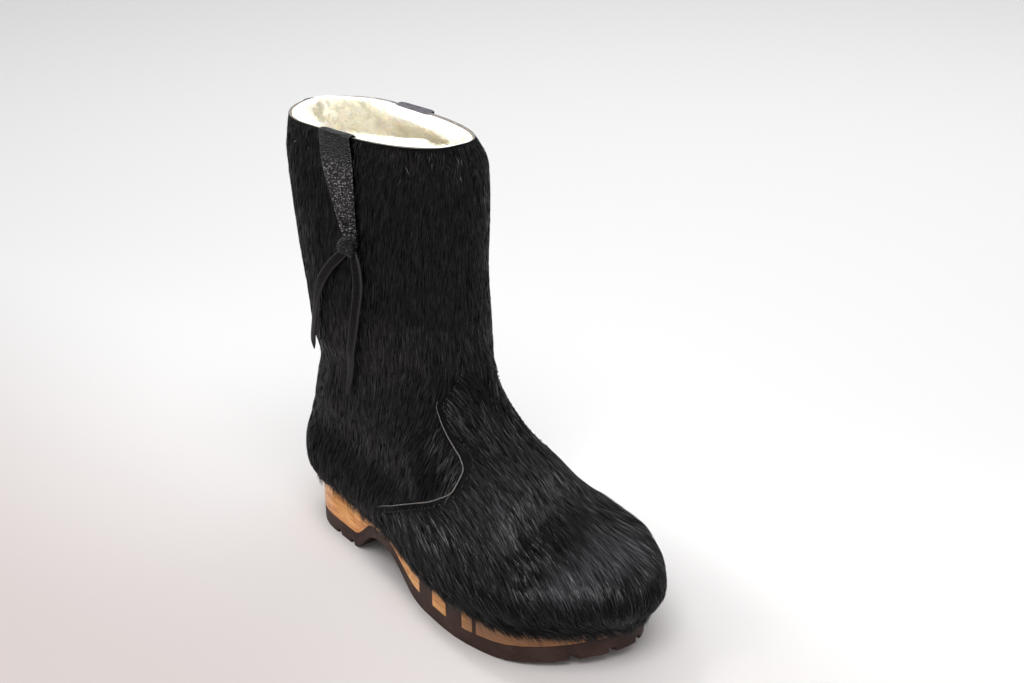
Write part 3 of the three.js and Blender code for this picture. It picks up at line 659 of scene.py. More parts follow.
# Soft troughs and ridges of the worn hide: from one place to another on the surface,
# with depth (outward positive) and half width
creases = readTable("from to depth width", [
    ((207, 6, 80), (219, -44, 60), -3.3, 8.5),
    ((192, 4, 88), (200, -40, 70), 1.0, 9.0),
    ((235, 10, 62), (236, -46, 47), 1.2, 9.0),
    ((110, -30, 120), (120, -36, 84), -2.2, 9.0),
    ((84, -32, 118), (84, -34, 84), 1.2, 11.0),
    ((62, -32, 116), (52, -32, 88), -1.4, 9.0),
    ((20, -22, 118), (70, -34, 132), -1.2, 8.0),
    ((134, -16, 128), (98, -34, 140), -1.4, 8.0),
    ((95, -38, 232), (100, -38, 170), 0.8, 12.0),
    ((40, -34, 170), (30, -28, 140), -1.0, 10.0),
    ((120, 26, 190), (112, 36, 150), -1.2, 10.0),
    ((110, 34, 118), (124, 34, 84), -2.0, 9.0),
    ((60, 36, 116), (50, 32, 88), -1.4, 9.0),
    ((207, 10, 80), (214, 52, 56), -2.0, 8.0),
    ((0, 0, 128), (20, 20, 126), -1.0, 8.0),
])


def creaseDepth(points):
    # each crease falls off as a bell from its line, and softly past its ends
    depth = np.zeros(points.shape[:-1])
    for crease in creases:
        a = np.array(crease["from"], float)
        ab = np.array(crease["to"], float) - a
        s = np.clip(((points - a) @ ab) / (ab @ ab), 0, 1)
        away = np.linalg.norm(points - a - s[..., None] * ab, axis=-1) / crease["width"]
        depth += crease["depth"] * np.exp(-away * away) * (0.55 + 0.45 * np.sin(np.pi * s))
    return depth


# The hide's outer surface on a fine grid of angle and level, with its creases and the vamp's
# step. Below level 0 it hangs on down past the sole's edge, where the hair carries on.
skinSize = {
    "around": 720,
    "levels": 300,
    "below": 1.2,
    "belowDrop": 16.0,
    "tuckIn": 0.16,  # how far the part below leans in, per millimetre of drop
    "stepSoftness": 0.5,
}


def buildSkin():
    angles = np.linspace(0, 2 * np.pi, skinSize["around"], endpoint=False)
    levels = np.linspace(-skinSize["below"], topLevel, skinSize["levels"])
    angle, level = np.meshgrid(angles, levels, indexing="ij")
    base = lastPoint(angle, np.maximum(level, 0))
    normal = lastNormal(angle, np.maximum(level, 0))
    onVamp = 1 / (1 + np.exp(-seamDistance(base[..., 0], base[..., 2]) / skinSize["stepSoftness"]))
    out = -boot["furDepth"] + creaseDepth(base) + boot["vampStep"] * onVamp
    points = base + normal * out[..., None]
    hang = np.maximum(-level, 0) / skinSize["below"] * skinSize["belowDrop"]
    outward = unit(normal * [1, 1, 0])
    points[..., 2] -= hang
    points = points - outward * (skinSize["tuckIn"] * hang)[..., None]
    around = np.roll(points, -1, 0) - np.roll(points, 1, 0)
    up = np.gradient(points, axis=1)
    return points, unit(np.cross(around, up))


skinPoints, skinNormals = buildSkin()
levelPerRow = (topLevel + skinSize["below"]) / (skinSize["levels"] - 1)


def onSkin(angle, level, out=0.0):
    # point and normal of the hide's surface, moved out along the normal
    u = (np.asarray(angle) / (2 * np.pi) * skinSize["around"]) % skinSize["around"]
    v = np.clip((np.asarray(level) + skinSize["below"]) / levelPerRow, 0, skinSize["levels"] - 1.001)
    i, j = u.astype(int) % skinSize["around"], v.astype(int)
    fu, fv = (u - np.floor(u))[..., None], (v - j)[..., None]
    i2, j2 = (i + 1) % skinSize["around"], j + 1
    weights = [
        (i, j, (1 - fu) * (1 - fv)), (i2, j, fu * (1 - fv)),
        (i, j2, (1 - fu) * fv), (i2, j2, fu * fv),
    ]
    point = sum(skinPoints[a, b] * w for a, b, w in weights)
    normal = unit(sum(skinNormals[a, b] * w for a, b, w in weights))
    return point + normal * np.asarray(out)[..., None], normal


print("last and hide surface worked out")


# Upper: the hide as one hollow shell with its cut edge at the collar and its lining

upperMesh = {"around": 250, "up": 90, "inside": 22, "rim": 4}


def makeUpper():
    # outside from the sole's edge to the collar, over the rim, and down the inside
    count = upperMesh["around"]
    angle = np.linspace(0, 2 * np.pi, count, endpoint=False)
    rows = []
    kinds = []
    for level in np.linspace(0, topLevel, upperMesh["up"]):
        rows.append(onSkin(angle, np.full(count, level))[0])
        kinds.append(0)
    rim, normal = onSkin(angle, np.full(count, float(topLevel)))
    thick = boot["wall"] - boot["furDepth"]
    for turn in np.linspace(0, np.pi, upperMesh["rim"] + 2)[1:-1]:
        inwards = thick * (1 - np.cos(turn)) / 2
        rows.append(rim - normal * inwards + [0, 0, 0.5 * math.sin(turn)])
        kinds.append(1)
    for level in np.linspace(topLevel, 0, upperMesh["inside"]):
        level = np.full(count, level)
        base = lastPoint(angle, level)
        behind = np.minimum(creaseDepth(base), 0) - boot["wall"]
        rows.append(base + lastNormal(angle, level) * behind[:, None])
        kinds.append(2)
    faces = gridFaces(len(rows), count, closeRows=True, closeColumns=True)
    rowKinds = np.array(kinds)[faces[:, 0] // count]
    points = np.concatenate(rows)
    # painted shade: the lining inside the shaft is coloured well into the beige, its top rows pale
    shade = np.where(np.array(kinds) == 2, 0.75, 0.1)
    shade[-upperMesh["inside"]:][:2] = 0.1
    shade = np.repeat(shade, count)
    piece = newPiece("upperHide", points, faces, [hide, cutEdge, wool], {"depth": shade}, rowKinds)
    dress(piece, "hide", "upper")


makeUpper()
print("upper made")


# Hair: flat tapering blades that start on the hide, follow its surface and lift at the tip

# One mesh each: level range on the hide, blade count, size, lift and unevenness, how far its
# tips may hang past the hem, and the share of its length, lift and unevenness off the vamp.
hairCoats = readTable("name low high count length width lift steps clump swing contrast tone past calm", [
    ("hairShaft", 9.6, 13.98, 65000, 9.5, 0.31, 0.45, 2, 4.0, 0.06, 0.5, -0.04, 0.0, 1.0),
    ("hairAnkle", 4.4, 9.8, 60000, 11.0, 0.36, 0.6, 2, 4.5, 0.07, 0.65, 0.06, 0.0, 1.0),
    ("hairVampTop", 1.9, 4.6, 35000, 18.0, 0.33, 1.1, 3, 4.5, 0.09, 0.9, -0.08, 0.0, 0.5),
    ("hairVampSide", 0.0, 2.0, 30000, 16.0, 0.35, 1.2, 3, 4.5, 0.11, 0.9, -0.05, 0.0, 0.5),
    ("hairFringe", 0.0, 0.35, 6000, 14.0, 0.28, 1.4, 3, 4.0, 0.26, 0.6, -0.1, 9.0, 1.0),
    ("hairWisps", 12.9, 13.98, 650, 7.0, 0.16, 2.8, 3, 7.0, 1.0, 0.8, 0.6, 0.0, 0.5),
])
hairForm = {
    "seamGap": 0.9,  # no hair is rooted this close to the vamp's seam, up to this height
    "seamTop": 128.0,
    "topFrom": 250.0,  # from here up over this reach the hair gets shorter by this share
    "topReach": 14.0,
    "topLoss": 0.25,
    "sunk": 0.08,  # its root lies this far under the hide's surface
    "taper": (0.5, 0.42, 0.3),  # half widths from the root up, as shares of the width
    "gather": 0.3,  # pull towards the middle of its clump
    "clumpKinds": 9973,
    "brightShare": 0.10,  # of the hairs that catch the light in full
    "baseTone": 0.3,
}
hemLine = [  # where the hair ends over the sole: x, and height of its tips on each side
    (-20.0, 36.0, 36.0), (20.0, 36.0, 36.0), (60.0, 34.0, 32.0), (84.0, 29.0, 29.0), (109.0, 27.0, 26.0),
    (143.0, 22.5, 22.5), (185.0, 20.5, 20.5), (200.0, 18.5, 19.0), (245.0, 18.0, 19.0), (290.0, 19.0, 20.0),
]
# painted highlight and painted shade on the coat: place, reach and change of tone. The raised
# spots paint the glinting band over the toe and a band on the vamp; the lowered ones paint
# shade under the toe band, in the flex dent, on the instep and on the outer side.
paintedLightSpots = readTable("at reach change", [
    ((240, -14, 55), (12, 34, 9), 0.62),
    ((236, 18, 63), (13, 26, 11), 0.6),
    ((244, -22, 40), (16, 40, 7), -0.4),
    ((196, -28, 72), (10, 28, 14), 0.18),
    ((213, -18, 70), (8, 30, 14), -0.4),
    ((150, -10, 118), (26, 40, 26), -0.42),
    ((148, -34, 82), (15, 20, 24), -0.3),
    ((232, -52, 26), (40, 12, 9), -0.25),
])
flow = {  # the way the hair lies, before it is laid on the surface
    "shaft": (-0.02, 0.0, -1.0),
    "vampTop": (0.90, -0.14, -0.62),
    "vampInner": (0.85, 0.20, -0.60),
    "nearSeam": (1.00, 0.00, -0.38),
    "edge": (0.15, 0.0, -0.75),
}


def areaWeights(low, high):
    # where to root hairs: cells of the skin's grid, weighted by their area
    j = np.arange(skinSize["levels"] - 1)
    level = j * levelPerRow - skinSize["below"]
    j = j[(level >= low) & (level < high)]
    a = np.roll(skinPoints, -1, 0)[:, j] - skinPoints[:, j]
    b = skinPoints[:, j + 1] - skinPoints[:, j]
    area = np.linalg.norm(np.cross(a, b), axis=-1)
    return j, area


def hemHeight(points):
    rows = np.array(hemLine)
    outer = np.interp(points[:, 0], rows[:, 0], rows[:, 1])
    inner = np.interp(points[:, 0], rows[:, 0], rows[:, 2])
    return np.where(points[:, 1] < 0, outer, inner)


def paintedLightTone(points):
    change = np.zeros(len(points))
    for spot in paintedLightSpots:
        away = (points - np.array(spot["at"], float)) / np.array(spot["reach"], float)
        change += spot["change"] * np.exp(-(away * away).sum(-1))
    return change


def flowDirection(points, normals):
    vamp = seamDistance(points[..., 0], points[..., 2]) > 0
    inner = np.clip((points[..., 1] - 4) / 30, 0, 1)[..., None]
    vampFlow = np.array(flow["vampTop"]) * (1 - inner) + np.array(flow["vampInner"]) * inner
    byEdge = np.clip((38 - points[..., 2]) / 14, 0, 1)[..., None]
    bySeam = np.exp(-np.abs(seamDistance(points[..., 0], points[..., 2])) / 9)[..., None] * (1 - byEdge)
    vampFlow = vampFlow * (1 - bySeam) + np.array(flow["nearSeam"]) * bySeam
    vampFlow = vampFlow + byEdge * np.array(flow["edge"])
    direction = np.where(vamp[..., None], vampFlow, np.array(flow["shaft"]))
    heelBack = np.clip((60 - points[..., 0]) / 60, 0, 1) * np.clip((110 - points[..., 2]) / 50, 0, 1)
    direction = direction + np.where(vamp, 0, -0.12 * heelBack)[..., None] * np.array([1.0, 0, 0])
    along = direction - normals * (direction * normals).sum(-1, keepdims=True)
    return unit(along), vamp


def stepAlong(angle, level, direction, distance):
    # moves a place on the hide by a distance in a direction, by the surface's own slopes
    da, dl = 0.01, 0.04
    byAngle = (onSkin(angle + da, level)[0] - onSkin(angle - da, level)[0]) / (2 * da)
    byLevel = (onSkin(angle, level + dl)[0] - onSkin(angle, level - dl)[0]) / (2 * dl)
    aa = (byAngle * byAngle).sum(-1) + 1e-3
    bb = (byLevel * byLevel).sum(-1) + 1e-3
    ab = (byAngle * byLevel).sum(-1)
    da1 = (direction * byAngle).sum(-1)
    db1 = (direction * byLevel).sum(-1)
    det = np.maximum(aa * bb - ab * ab, 1e-3)
    stepA = np.clip((da1 * bb - db1 * ab) / det * distance, -0.12, 0.12)
    stepL = np.clip((db1 * aa - da1 * ab) / det * distance, -1.2, 1.2)
    return angle + stepA, level + stepL


def makeCoat(coat):
    # a blade is a row of width across the hair at each step, closing to a point at the tip
    j, area = areaWeights(coat["low"], coat["high"])
    weights = (area / area.sum()).ravel()
    cell = rng.choice(len(weights), coat["count"], p=weights)
    i, jj = np.unravel_index(cell, area.shape)
    angle = (i + rng.random(len(i))) / skinSize["around"] * 2 * np.pi
    level = (j[jj] + rng.random(len(i))) * levelPerRow - skinSize["below"]
    level = np.minimum(level, topLevel - 0.02)
    root, normal = onSkin(angle, level)
    direction, vamp = flowDirection(root, normal)
    apart = seamDistance(root[..., 0], root[..., 2])
    keep = (np.abs(apart) > hairForm["seamGap"]) | (root[..., 2] > hairForm["seamTop"])
    angle, level, root, normal, direction = (v[keep] for v in (angle, level, root, normal, direction))
    count = len(angle)
    calm = np.where(vamp[keep], 1.0, coat["calm"])
    size = coat["clump"]
    cellId = np.floor(root / size + 0.35 * np.sin(root[:, [1, 2, 0]] / (size * 1.7))).astype(int)
    clumpKey = (cellId * [73856093, 19349663, 83492791]).sum(-1) % hairForm["clumpKinds"]
    clumpRandom = np.random.default_rng(3).random((hairForm["clumpKinds"], 4))[clumpKey]
    swing = (clumpRandom[:, 0] - 0.5) * 1.6 * coat["swing"] + rng.normal(0, 0.6 * coat["swing"], count)
    swing = swing * calm
    waves = 0.10 * np.sin(root[:, 0] / 17 + root[:, 2] / 31)
    swing = swing + waves * np.sin(root[:, 1] / 19 + root[:, 2] / 43)
    across = unit(np.cross(normal, direction))
    direction = direction * np.cos(swing)[:, None] + across * np.sin(swing)[:, None]
    centre = (cellId + 0.5) * size
    pull = centre - root
    pull = pull - direction * (pull * direction).sum(-1, keepdims=True)
    direction = unit(direction + pull / coat["length"] * hairForm["gather"] * coat["contrast"])
    length = coat["length"] * (0.72 + 0.4 * rng.random(count)) * (0.85 + 0.3 * clumpRandom[:, 1])
    nearTop = np.clip((root[:, 2] - hairForm["topFrom"]) / hairForm["topReach"], 0, 1)
    length = length * (1 - hairForm["topLoss"] * nearTop) * (0.3 + 0.7 * calm)
    hem = hemHeight(root) + (clumpRandom[:, 1] - 0.6) * 5.0 + rng.normal(0, 0.8, count)
    hem = hem - coat["past"] * rng.random(count) ** 2
    reach = (root[:, 2] - hem) / np.clip(-direction[:, 2], 0.25, 1)
    length = np.clip(length, 1.0, np.maximum(reach, 1.0))
    steps = coat["steps"]
    width = coat["width"] * (0.7 + 0.6 * rng.random(count))
    lift = coat["lift"] * (0.35 + 1.1 * rng.random(count) ** 1.6) * (0.7 + 0.6 * clumpRandom[:, 2]) * calm
    roll = rng.normal(0, 0.3 + 0.35 * coat["contrast"], count)
    rows = []
    for k in range(steps + 1):
        share = k / steps
        point, n = onSkin(angle, level)
        height = (lift + hairForm["sunk"]) * share ** 0.8 - hairForm["sunk"]
        point = point + n * height[:, None]
        side = unit(np.cross(n, direction))
        tilt = side * np.cos(roll)[:, None] + n * np.sin(roll)[:, None]
        if k < steps:
            half = width * hairForm["taper"][k]
            rows.append(point - tilt * half[:, None])
            rows.append(point + tilt * half[:, None])
        else:
            rows.append(point)
        angle, level = stepAlong(angle, level, direction, length / steps)
        direction = unit(direction - n * (direction * n).sum(-1, keepdims=True))
    tone = 0.65 * rng.random(count) ** 1.5 + 0.3 * (clumpRandom[:, 3] - 0.4)
    tone = np.where(rng.random(count) < hairForm["brightShare"], 1.0, tone)
    # painted highlight and shade from the spots; a highlight goes strongly to some hairs and faintly to the
    # rest, as glints
    change = paintedLightTone(root)
    change = np.where(change > 0, change * np.where(rng.random(count) < 0.45, 1.6, 0.45), change)
    base = hairForm["baseTone"]
    tone = base + (tone - base) * coat["contrast"] * calm + coat["tone"] + change
    dress(newBlades(coat["name"], np.stack(rows, 1), hair, "tone", np.clip(tone, 0, 1)), "hide")


for coat in hairCoats:
    makeCoat(coat)
    print("hair made:", coat["name"])


# Vamp seam: the pale cut edge of the vamp on the quarter, and its row of stitches

seam = {
    "edgeWidth": 0.8,
    "edgeHeight": 0.7,
    "from": 0.24,  # shares of the seam's length where the edge shows through the hair
    "to": 0.875,
    "stitchPitch": 3.4,
    "stitchLength": 1.4,
    "stitchInset": 3.0,
    "stitchStart": 30.0,  # distances from the seam's two ends where the row starts and stops
    "stitchStop": 34.0,
    "stitchBow": (0.1, 0.6, 0.8, 0.6, 0.1),  # along a stitch: height over the hide
    "stitchHalf": (0.15, 0.26, 0.28, 0.26, 0.15),  # and half its thickness
}


def acrossPath(centre, out):
    return unit(np.cross(unit(np.gradient(centre, axis=0)), out))


def tubeRows(centres, across, out, halfWidth, halfHeight, sides=8):
    # an oval section carried along a path
    turn = np.linspace(0, 2 * np.pi, sides, endpoint=False)
    ring = across[:, None, :] * (np.cos(turn)[None, :, None] * halfWidth[:, None, None])
    ring = ring + out[:, None, :] * (np.sin(turn)[None, :, None] * halfHeight[:, None, None])
    return centres[:, None, :] + ring


def closedTube(rows):
    # points and faces of a tube with both ends closed to a point
    count, sides = rows.shape[:2]
    faces = [list(face) for face in gridFaces(count, sides, closeColumns=True)]
    points = rows.reshape(-1, 3)
    low, high = len(points), len(points) + 1
    points = np.concatenate([points, rows[0].mean(0)[None], rows[-1].mean(0)[None]])
    base = (count - 1) * sides
    for c in range(sides):
        following = (c + 1) % sides
        faces.append([following, c, low])
        faces.append([base + c, base + following, high])
    return points, faces


def joinParts(parts):
    points, faces, start = [], [], 0
    for partPoints, partFaces in parts:
        points.append(partPoints)
        faces.extend([[i + start for i in face] for face in partFaces])
        start += len(partPoints)
    return np.concatenate(points), faces


def makeSeam(side, name):
    first, last = int(seam["from"] * len(seamLine)), int(seam["to"] * len(seamLine))
    line = smoothPath(seamLine[first:last], 150)
    angle, level = sidePlace(line[:, 0] - 0.4, line[:, 1], side)
    centre, out = onSkin(angle, level, np.full(len(line), 0.7))
    across = acrossPath(centre, out)
    fade = np.sin(np.pi * np.linspace(0.02, 0.98, len(line))) ** 0.35
    rows = tubeRows(centre, across, out, seam["edgeWidth"] / 2 * fade, seam["edgeHeight"] / 2 * fade)
    dress(newPiece(name, *closedTube(rows), [cutEdge]), "hide")


def makeStitches(side, name):
    run = runAlong(seamLine)
    tangent = unit(np.gradient(seamLine, axis=0))
    parts = []
    half = np.array(seam["stitchHalf"])
    for place in np.arange(seam["stitchStart"], run[-1] - seam["stitchStop"], seam["stitchPitch"]):
        x, z, tx, tz = (np.interp(place, run, values) for values in (*seamLine.T, *tangent.T))
        ends = np.linspace(-0.5, 0.5, 5) * seam["stitchLength"]
        px = x + tx * ends - tz * seam["stitchInset"]
        pz = z + tz * ends + tx * seam["stitchInset"]
        angle, level = sidePlace(px, pz, side)
        centre, out = onSkin(angle, level, np.array(seam["stitchBow"]))
        across = acrossPath(centre, out)
        parts.append(closedTube(tubeRows(centre, across, out, half, half, 6)))
    dress(newPiece(name, *joinParts(parts), [thread]), "hide")


makeSeam(-1, "vampEdgeOuter")
makeSeam(1, "vampEdgeInner")
makeStitches(-1, "stitchesOuter")
makeStitches(1, "stitchesInner")
print("seam made")


# Shearling in the collar: a thick soft ring, and the curled fibres standing out of it

fleece = {
    "thickness": 11.0,
    "depth": 62.0,
    "crown": 0.8,
    "crownShare": 0.2,  # of the way along its section, the rest is the inner face
    "faceShare": 0.8,
    "darkest": 46.0,  # depth in the collar where its painted shade is deepest
    "gap": 0.6,
    "around": 210,
    "down": 52,
    "lump": 1.1,
    "fibres": 23000,
    "fibreLength": 5.2,
    "fibreWidth": 0.30,
    "fibreTaper": (1.0, 0.9, 0.7),  # its widths from the root up
    "fibreRise": 0.42,  # how far it stands out and leans over, as shares of its length
    "fibreLean": 0.65,
    "fibreSunk": 0.10,
    "crimp": 0.5,
    "lockKinds": 7919,
    "middle": (55.0, 12.0, 0.0),  # a place in the shaft's hollow, which the pile faces
    "highest": 1.6,  # over the collar's edge
    "underLap": [(1.30, 1.75, 0.85), (-0.35, 0.17, 0.35)],  # laps on the pile: from, to, and how flat
}


def levelBelow(drop):
    middle = column["backX"](topLevel) + boot["shaftLength"] / 2
    return sidePlace(middle, boot["height"] - np.asarray(drop, float), -1)[1]


def fleecePoint(angle, s):
    # s from 0 at the collar's edge over the crown down the inner face to 1
    crownPart = np.clip(s / fleece["crownShare"], 0, 1)
    facePart = np.clip((s - fleece["crownShare"]) / fleece["faceShare"], 0, 1)
    level = levelBelow(facePart * fleece["depth"])
    depth = fleece["gap"] + fleece["thickness"] * np.sin(crownPart * np.pi / 2) ** 0.8
    turn = (angle + np.pi) % (2 * np.pi) - np.pi
    pressed = 0.0
    for start, end, amount in fleece["underLap"]:
        pressed = pressed + amount / (1 + np.exp(-(turn - start) / 0.03)) / (1 + np.exp((turn - end) / 0.03))
    depth = depth * (1 - pressed * np.clip(1 - facePart * fleece["depth"] / 9, 0, 1))
    depth = depth * (1 - 0.5 * np.clip((facePart - 0.8) / 0.2, 0, 1) ** 2)
    rise = fleece["crown"] * np.sin(np.pi * np.clip(crownPart * 0.9 + 0.05, 0, 1)) ** 0.7 * (facePart < 1e-6)
    rise = rise + fleece["crown"] * 0.3 * np.exp(-facePart * 14) * (facePart > 1e-6)
    lump = np.sin(11 * angle + 9 * facePart + 1.7 * np.sin(5 * angle)) + np.sin(17 * angle - 15 * facePart)
    lump = lump + np.sin(23 * angle + 21 * facePart + 2.2 * np.sin(3 * angle)) * 0.4
    lump = lump * fleece["lump"] * 0.22 * crownPart
    base = lastPoint(angle, level)
    point = base - lastNormal(angle, level) * (boot["wall"] + depth + lump)[..., None]
    point[..., 2] += rise + 0.35 * lump * (facePart < 0.1)
    return point


def pileShade(s):
    # painted shade: the wool is coloured darker the deeper it lies in the collar
    down = (s - fleece["crownShare"]) / fleece["faceShare"] * fleece["depth"]
    return np.clip(down / fleece["darkest"], 0, 1)


def makeFleece():
    # the ring's inner face and crown, closed by a flat back against the hide
    count = fleece["around"]
    angle = np.linspace(0, 2 * np.pi, count, endpoint=False)
    shares = np.concatenate([np.linspace(0, 0.2, 14), np.linspace(0.2, 1, fleece["down"])[1:]])
    rows = [fleecePoint(angle, np.full(count, s)) for s in shares]
    for drop in np.linspace(fleece["depth"], 0, 10):
        level = np.full(count, float(levelBelow(drop)))
        rows.append(lastPoint(angle, level) - lastNormal(angle, level) * (boot["wall"] + 0.4))
    faces = gridFaces(len(rows), count, closeRows=True, closeColumns=True)[:, ::-1]
    # painted shade down the inner face, full on the flat back against the hide
    deep = np.concatenate([pileShade(shares), np.ones(10)])
    piece = newPiece("collarFleece", np.concatenate(rows), faces, [wool], {"depth": np.repeat(deep, count)})
    dress(piece, "shearling", "collar_fleece")


def makeFibres():
    # short crimped fibres: a blade that swings to and fro as it leaves the pile
    count = fleece["fibres"]
    angle = rng.random(count) * 2 * np.pi
    s = 0.03 + 0.80 * rng.random(count) ** 1.05
    da = 0.01
    root = fleecePoint(angle, s)
    down = unit(fleecePoint(angle, np.minimum(s + 0.02, 1)) - fleecePoint(angle, np.maximum(s - 0.02, 0)))
    around = unit(fleecePoint(angle + da, s) - fleecePoint(angle - da, s))
    out = unit(np.cross(down, around))
    centre = lastPoint(angle, np.full(count, float(topLevel)))
    inward = np.array(fleece["middle"]) - centre
    inward[:, 2] = 6.0
    out = np.where(((out * inward).sum(-1) < 0)[:, None], -out, out)
    lock = np.floor(np.stack([angle * 14, s * 22], -1) + 0.4 * np.sin(np.stack([s * 30, angle * 8], -1)))
    key = (lock * [374761, 668265]).sum(-1).astype(int) % fleece["lockKinds"]
    lockRandom = np.random.default_rng(5).random((fleece["lockKinds"], 3))[key]
    leanAngle = lockRandom[:, 0] * 2 * np.pi
    lean = down * np.cos(leanAngle)[:, None] + around * np.sin(leanAngle)[:, None]
    length = fleece["fibreLength"] * (0.5 + 0.7 * rng.random(count))
    phase = rng.random(count) * 2 * np.pi
    spin = rng.random(count) * 2 * np.pi
    swingWay = around * np.cos(spin)[:, None] + down * np.sin(spin)[:, None]
    rows = []
    steps = 3
    for k in range(steps + 1):
        share = k / steps
        point = root + out * (length * (fleece["fibreRise"] * share - fleece["fibreSunk"]))[:, None]
        point = point + lean * (length * fleece["fibreLean"] * share ** 1.4)[:, None]
        point = point + swingWay * (np.sin(share * 6.0 + phase) * fleece["crimp"])[:, None]
        if k < steps:
            half = fleece["fibreWidth"] * 0.5 * fleece["fibreTaper"][k]
            rows.append(point - swingWay * half)
            rows.append(point + swingWay * half)
        else:
            rows.append(point)
    points = np.stack(rows, 1)
    points[..., 2] = np.minimum(points[..., 2], boot["height"] + fleece["highest"])
    # the fibres carry a little less of the painted shade than the ring under them
    dress(newBlades("collarWool", points, wool, "depth", pileShade(s) * 0.9), "shearling")


makeFleece()
makeFibres()
print("shearling made")


# Straps and laps folded over the collar

pullStrap = {
    "rows": [  # left and right edges along the shaft and drop below the collar, as shares
        (0.476, 0.680, 0.010), (0.496, 0.694, 0.080), (0.525, 0.706, 0.160), (0.565, 0.716, 0.240),
        (0.603, 0.726, 0.320), (0.634, 0.734, 0.400), (0.652, 0.738, 0.430), (0.672, 0.736, 0.460),
    ],
    "thickness": 1.7,
    "stand": 1.5,  # how far its back stands off the hide, over the flattened hair
    "fold": 9.0,
    "lean": 0.0,
    "arch": 0.62,
    "leather": strapLeather,
    "gatherFrom": 0.72,  # share of the way down where the gathers near the knot start
    "pucker": 0.9,
    "creaseAt": 0.86,
    "creaseDepth": 1.3,
    "dish": 0.5,
}
lap = {
    "thickness": 1.4,
    "stand": 0.8,
    "fold": 5.0,
    "lean": 1.2,
    "arch": 0.22,
    "leather": lapLeather,
    "length": 15.0,
    "top": 1.2,  # its outside starts this far under the collar's edge
    "medial": (0.330, 0.565),  # edges along the shaft
    "back": (2 * math.pi - 0.30, 2 * math.pi + 0.12),  # edges as angles
}


def placeX(share):
    return column["backX"](topLevel) + share * boot["shaftLength"]


def placeZ(drop):
    return boot["height"] - drop * (boot["height"] - boot["ankle"])


strip = {
    "overSteps": 12,
    "insideSteps": 8,
    "gap": 0.4,  # between the hide's rim and its back
    "rounding": 8,  # power of its section's edges
    "grainShownFrom": 0.12,  # share of the way down where the grain's painted highlight starts to show
    "grainShownReach": 0.15,
    "grainShownOver": 0.15,
}


def foldedStrip(name, node, style, placeAt, heightAt, steps, across=14):
    # A closed rounded section carried up the outside, over the collar's rim and down inside.
    # The section runs across the front face and back across the rear face. placeAt gives
    # angle and level on the hide from the share across, the share down and the height.
    half = np.linspace(-1, 1, across)
    swell = np.sqrt(np.maximum(1 - half ** strip["rounding"], 0))
    shares = np.concatenate([(half + 1) / 2, (half[::-1] + 1) / 2])
    heights = np.concatenate([0.5 + 0.5 * swell, 0.5 - 0.5 * swell[::-1]]) * style["thickness"]
    loops = []
    grainShown = []
    for v in np.linspace(1, 0, steps):
        angle, level = placeAt(shares, v, heightAt(v))
        out = style["stand"] + heights + (style["relief"](shares, v) if "relief" in style else 0)
        loops.append(onSkin(angle, np.minimum(level, topLevel), out)[0])
        grainShown.append(float(np.clip((v - strip["grainShownFrom"]) / strip["grainShownReach"], 0, 1)))
    angle = placeAt(shares, 0.0, boot["height"])[0]
    top = np.full_like(angle, float(topLevel))
    rim, normal = lastPoint(angle, top), lastNormal(angle, top)
    radius = boot["wall"] / 2 + strip["gap"] + heights
    for turn in np.linspace(0, np.pi, strip["overSteps"])[1:-1]:
        point = rim + normal * (-boot["wall"] / 2 + radius * np.cos(turn))[:, None]
        point[:, 2] += radius * np.sin(turn) * style["arch"]
        loops.append(point)
    for v in np.linspace(0, 1, strip["insideSteps"]):
        level = np.full_like(angle, float(levelBelow(style["fold"] * v)))
        inside = boot["wall"] / 2 + radius + style["lean"] * v
        loops.append(lastPoint(angle, level) - lastNormal(angle, level) * inside[:, None])
    points, faces = closedTube(np.stack(loops, 0))
    grainShown += [strip["grainShownOver"]] * (len(loops) - steps)
    paleness = np.concatenate([np.repeat(grainShown, len(shares)), [1.0, 0.0]])
    makeLeather(name, node, points, faces, style["leather"], paleness)


def makeLeather(name, node, points, faces, leather, paleness):
    piece = newPiece(name, points, faces, [leather], {"paleness": paleness})
    cleanMesh(piece.data)
    dress(piece, "strap_leather", node)


def makePullStrap():
    rows = np.array(pullStrap["rows"])
    left = curveThrough(rows[:, 2], placeX(rows[:, 0]))
    right = curveThrough(rows[:, 2], placeX(rows[:, 1]))
    lowest = rows[-1, 2]

    def placeAt(shares, v, z):
        drop = v * lowest
        x = left(drop) + (right(drop) - left(drop)) * shares
        return sidePlace(x, np.full_like(x, z), -1)

    def relief(share, v):
        # gathers near the knot and a slight dish across the strap
        near = np.clip((v - pullStrap["gatherFrom"]) / (1 - pullStrap["gatherFrom"]), 0, 1)
        gathers = np.sin(share * 14 + v * 6) * pullStrap["pucker"] * near
        fold = -pullStrap["creaseDepth"] * np.exp(-((v - pullStrap["creaseAt"]) / 0.025) ** 2)
        fold = fold * np.exp(-((share - 0.45) / 0.35) ** 2)
        return gathers * 0.7 + fold - pullStrap["dish"] * np.sin(np.pi * share) * (1 - near)

    style = dict(pullStrap, relief=relief)
    foldedStrip("pullStrap", "pull_strap", style, placeAt, lambda v: placeZ(v * lowest), 72, 18)


def makeLaps():
    def heightAt(v):
        return boot["height"] - lap["top"] - v * (lap["length"] - lap["top"])

    def onMedialSide(shares, v, z):
        left, right = (placeX(share) for share in lap["medial"])
        x = left + (right - left) * shares
        return sidePlace(x, np.full_like(x, z), 1)

    def atBack(shares, v, z):
        left, right = lap["back"]
        angle = left + (right - left) * shares
        return angle, np.full_like(angle, float(levelBelow(boot["height"] - z)))

    foldedStrip("medialLap", "medial_tab", lap, onMedialSide, heightAt, 14)
    foldedStrip("backLap", "back_tab", lap, atBack, heightAt, 14)


makePullStrap()
makeLaps()
print("strap and laps made")


# Knot and thongs

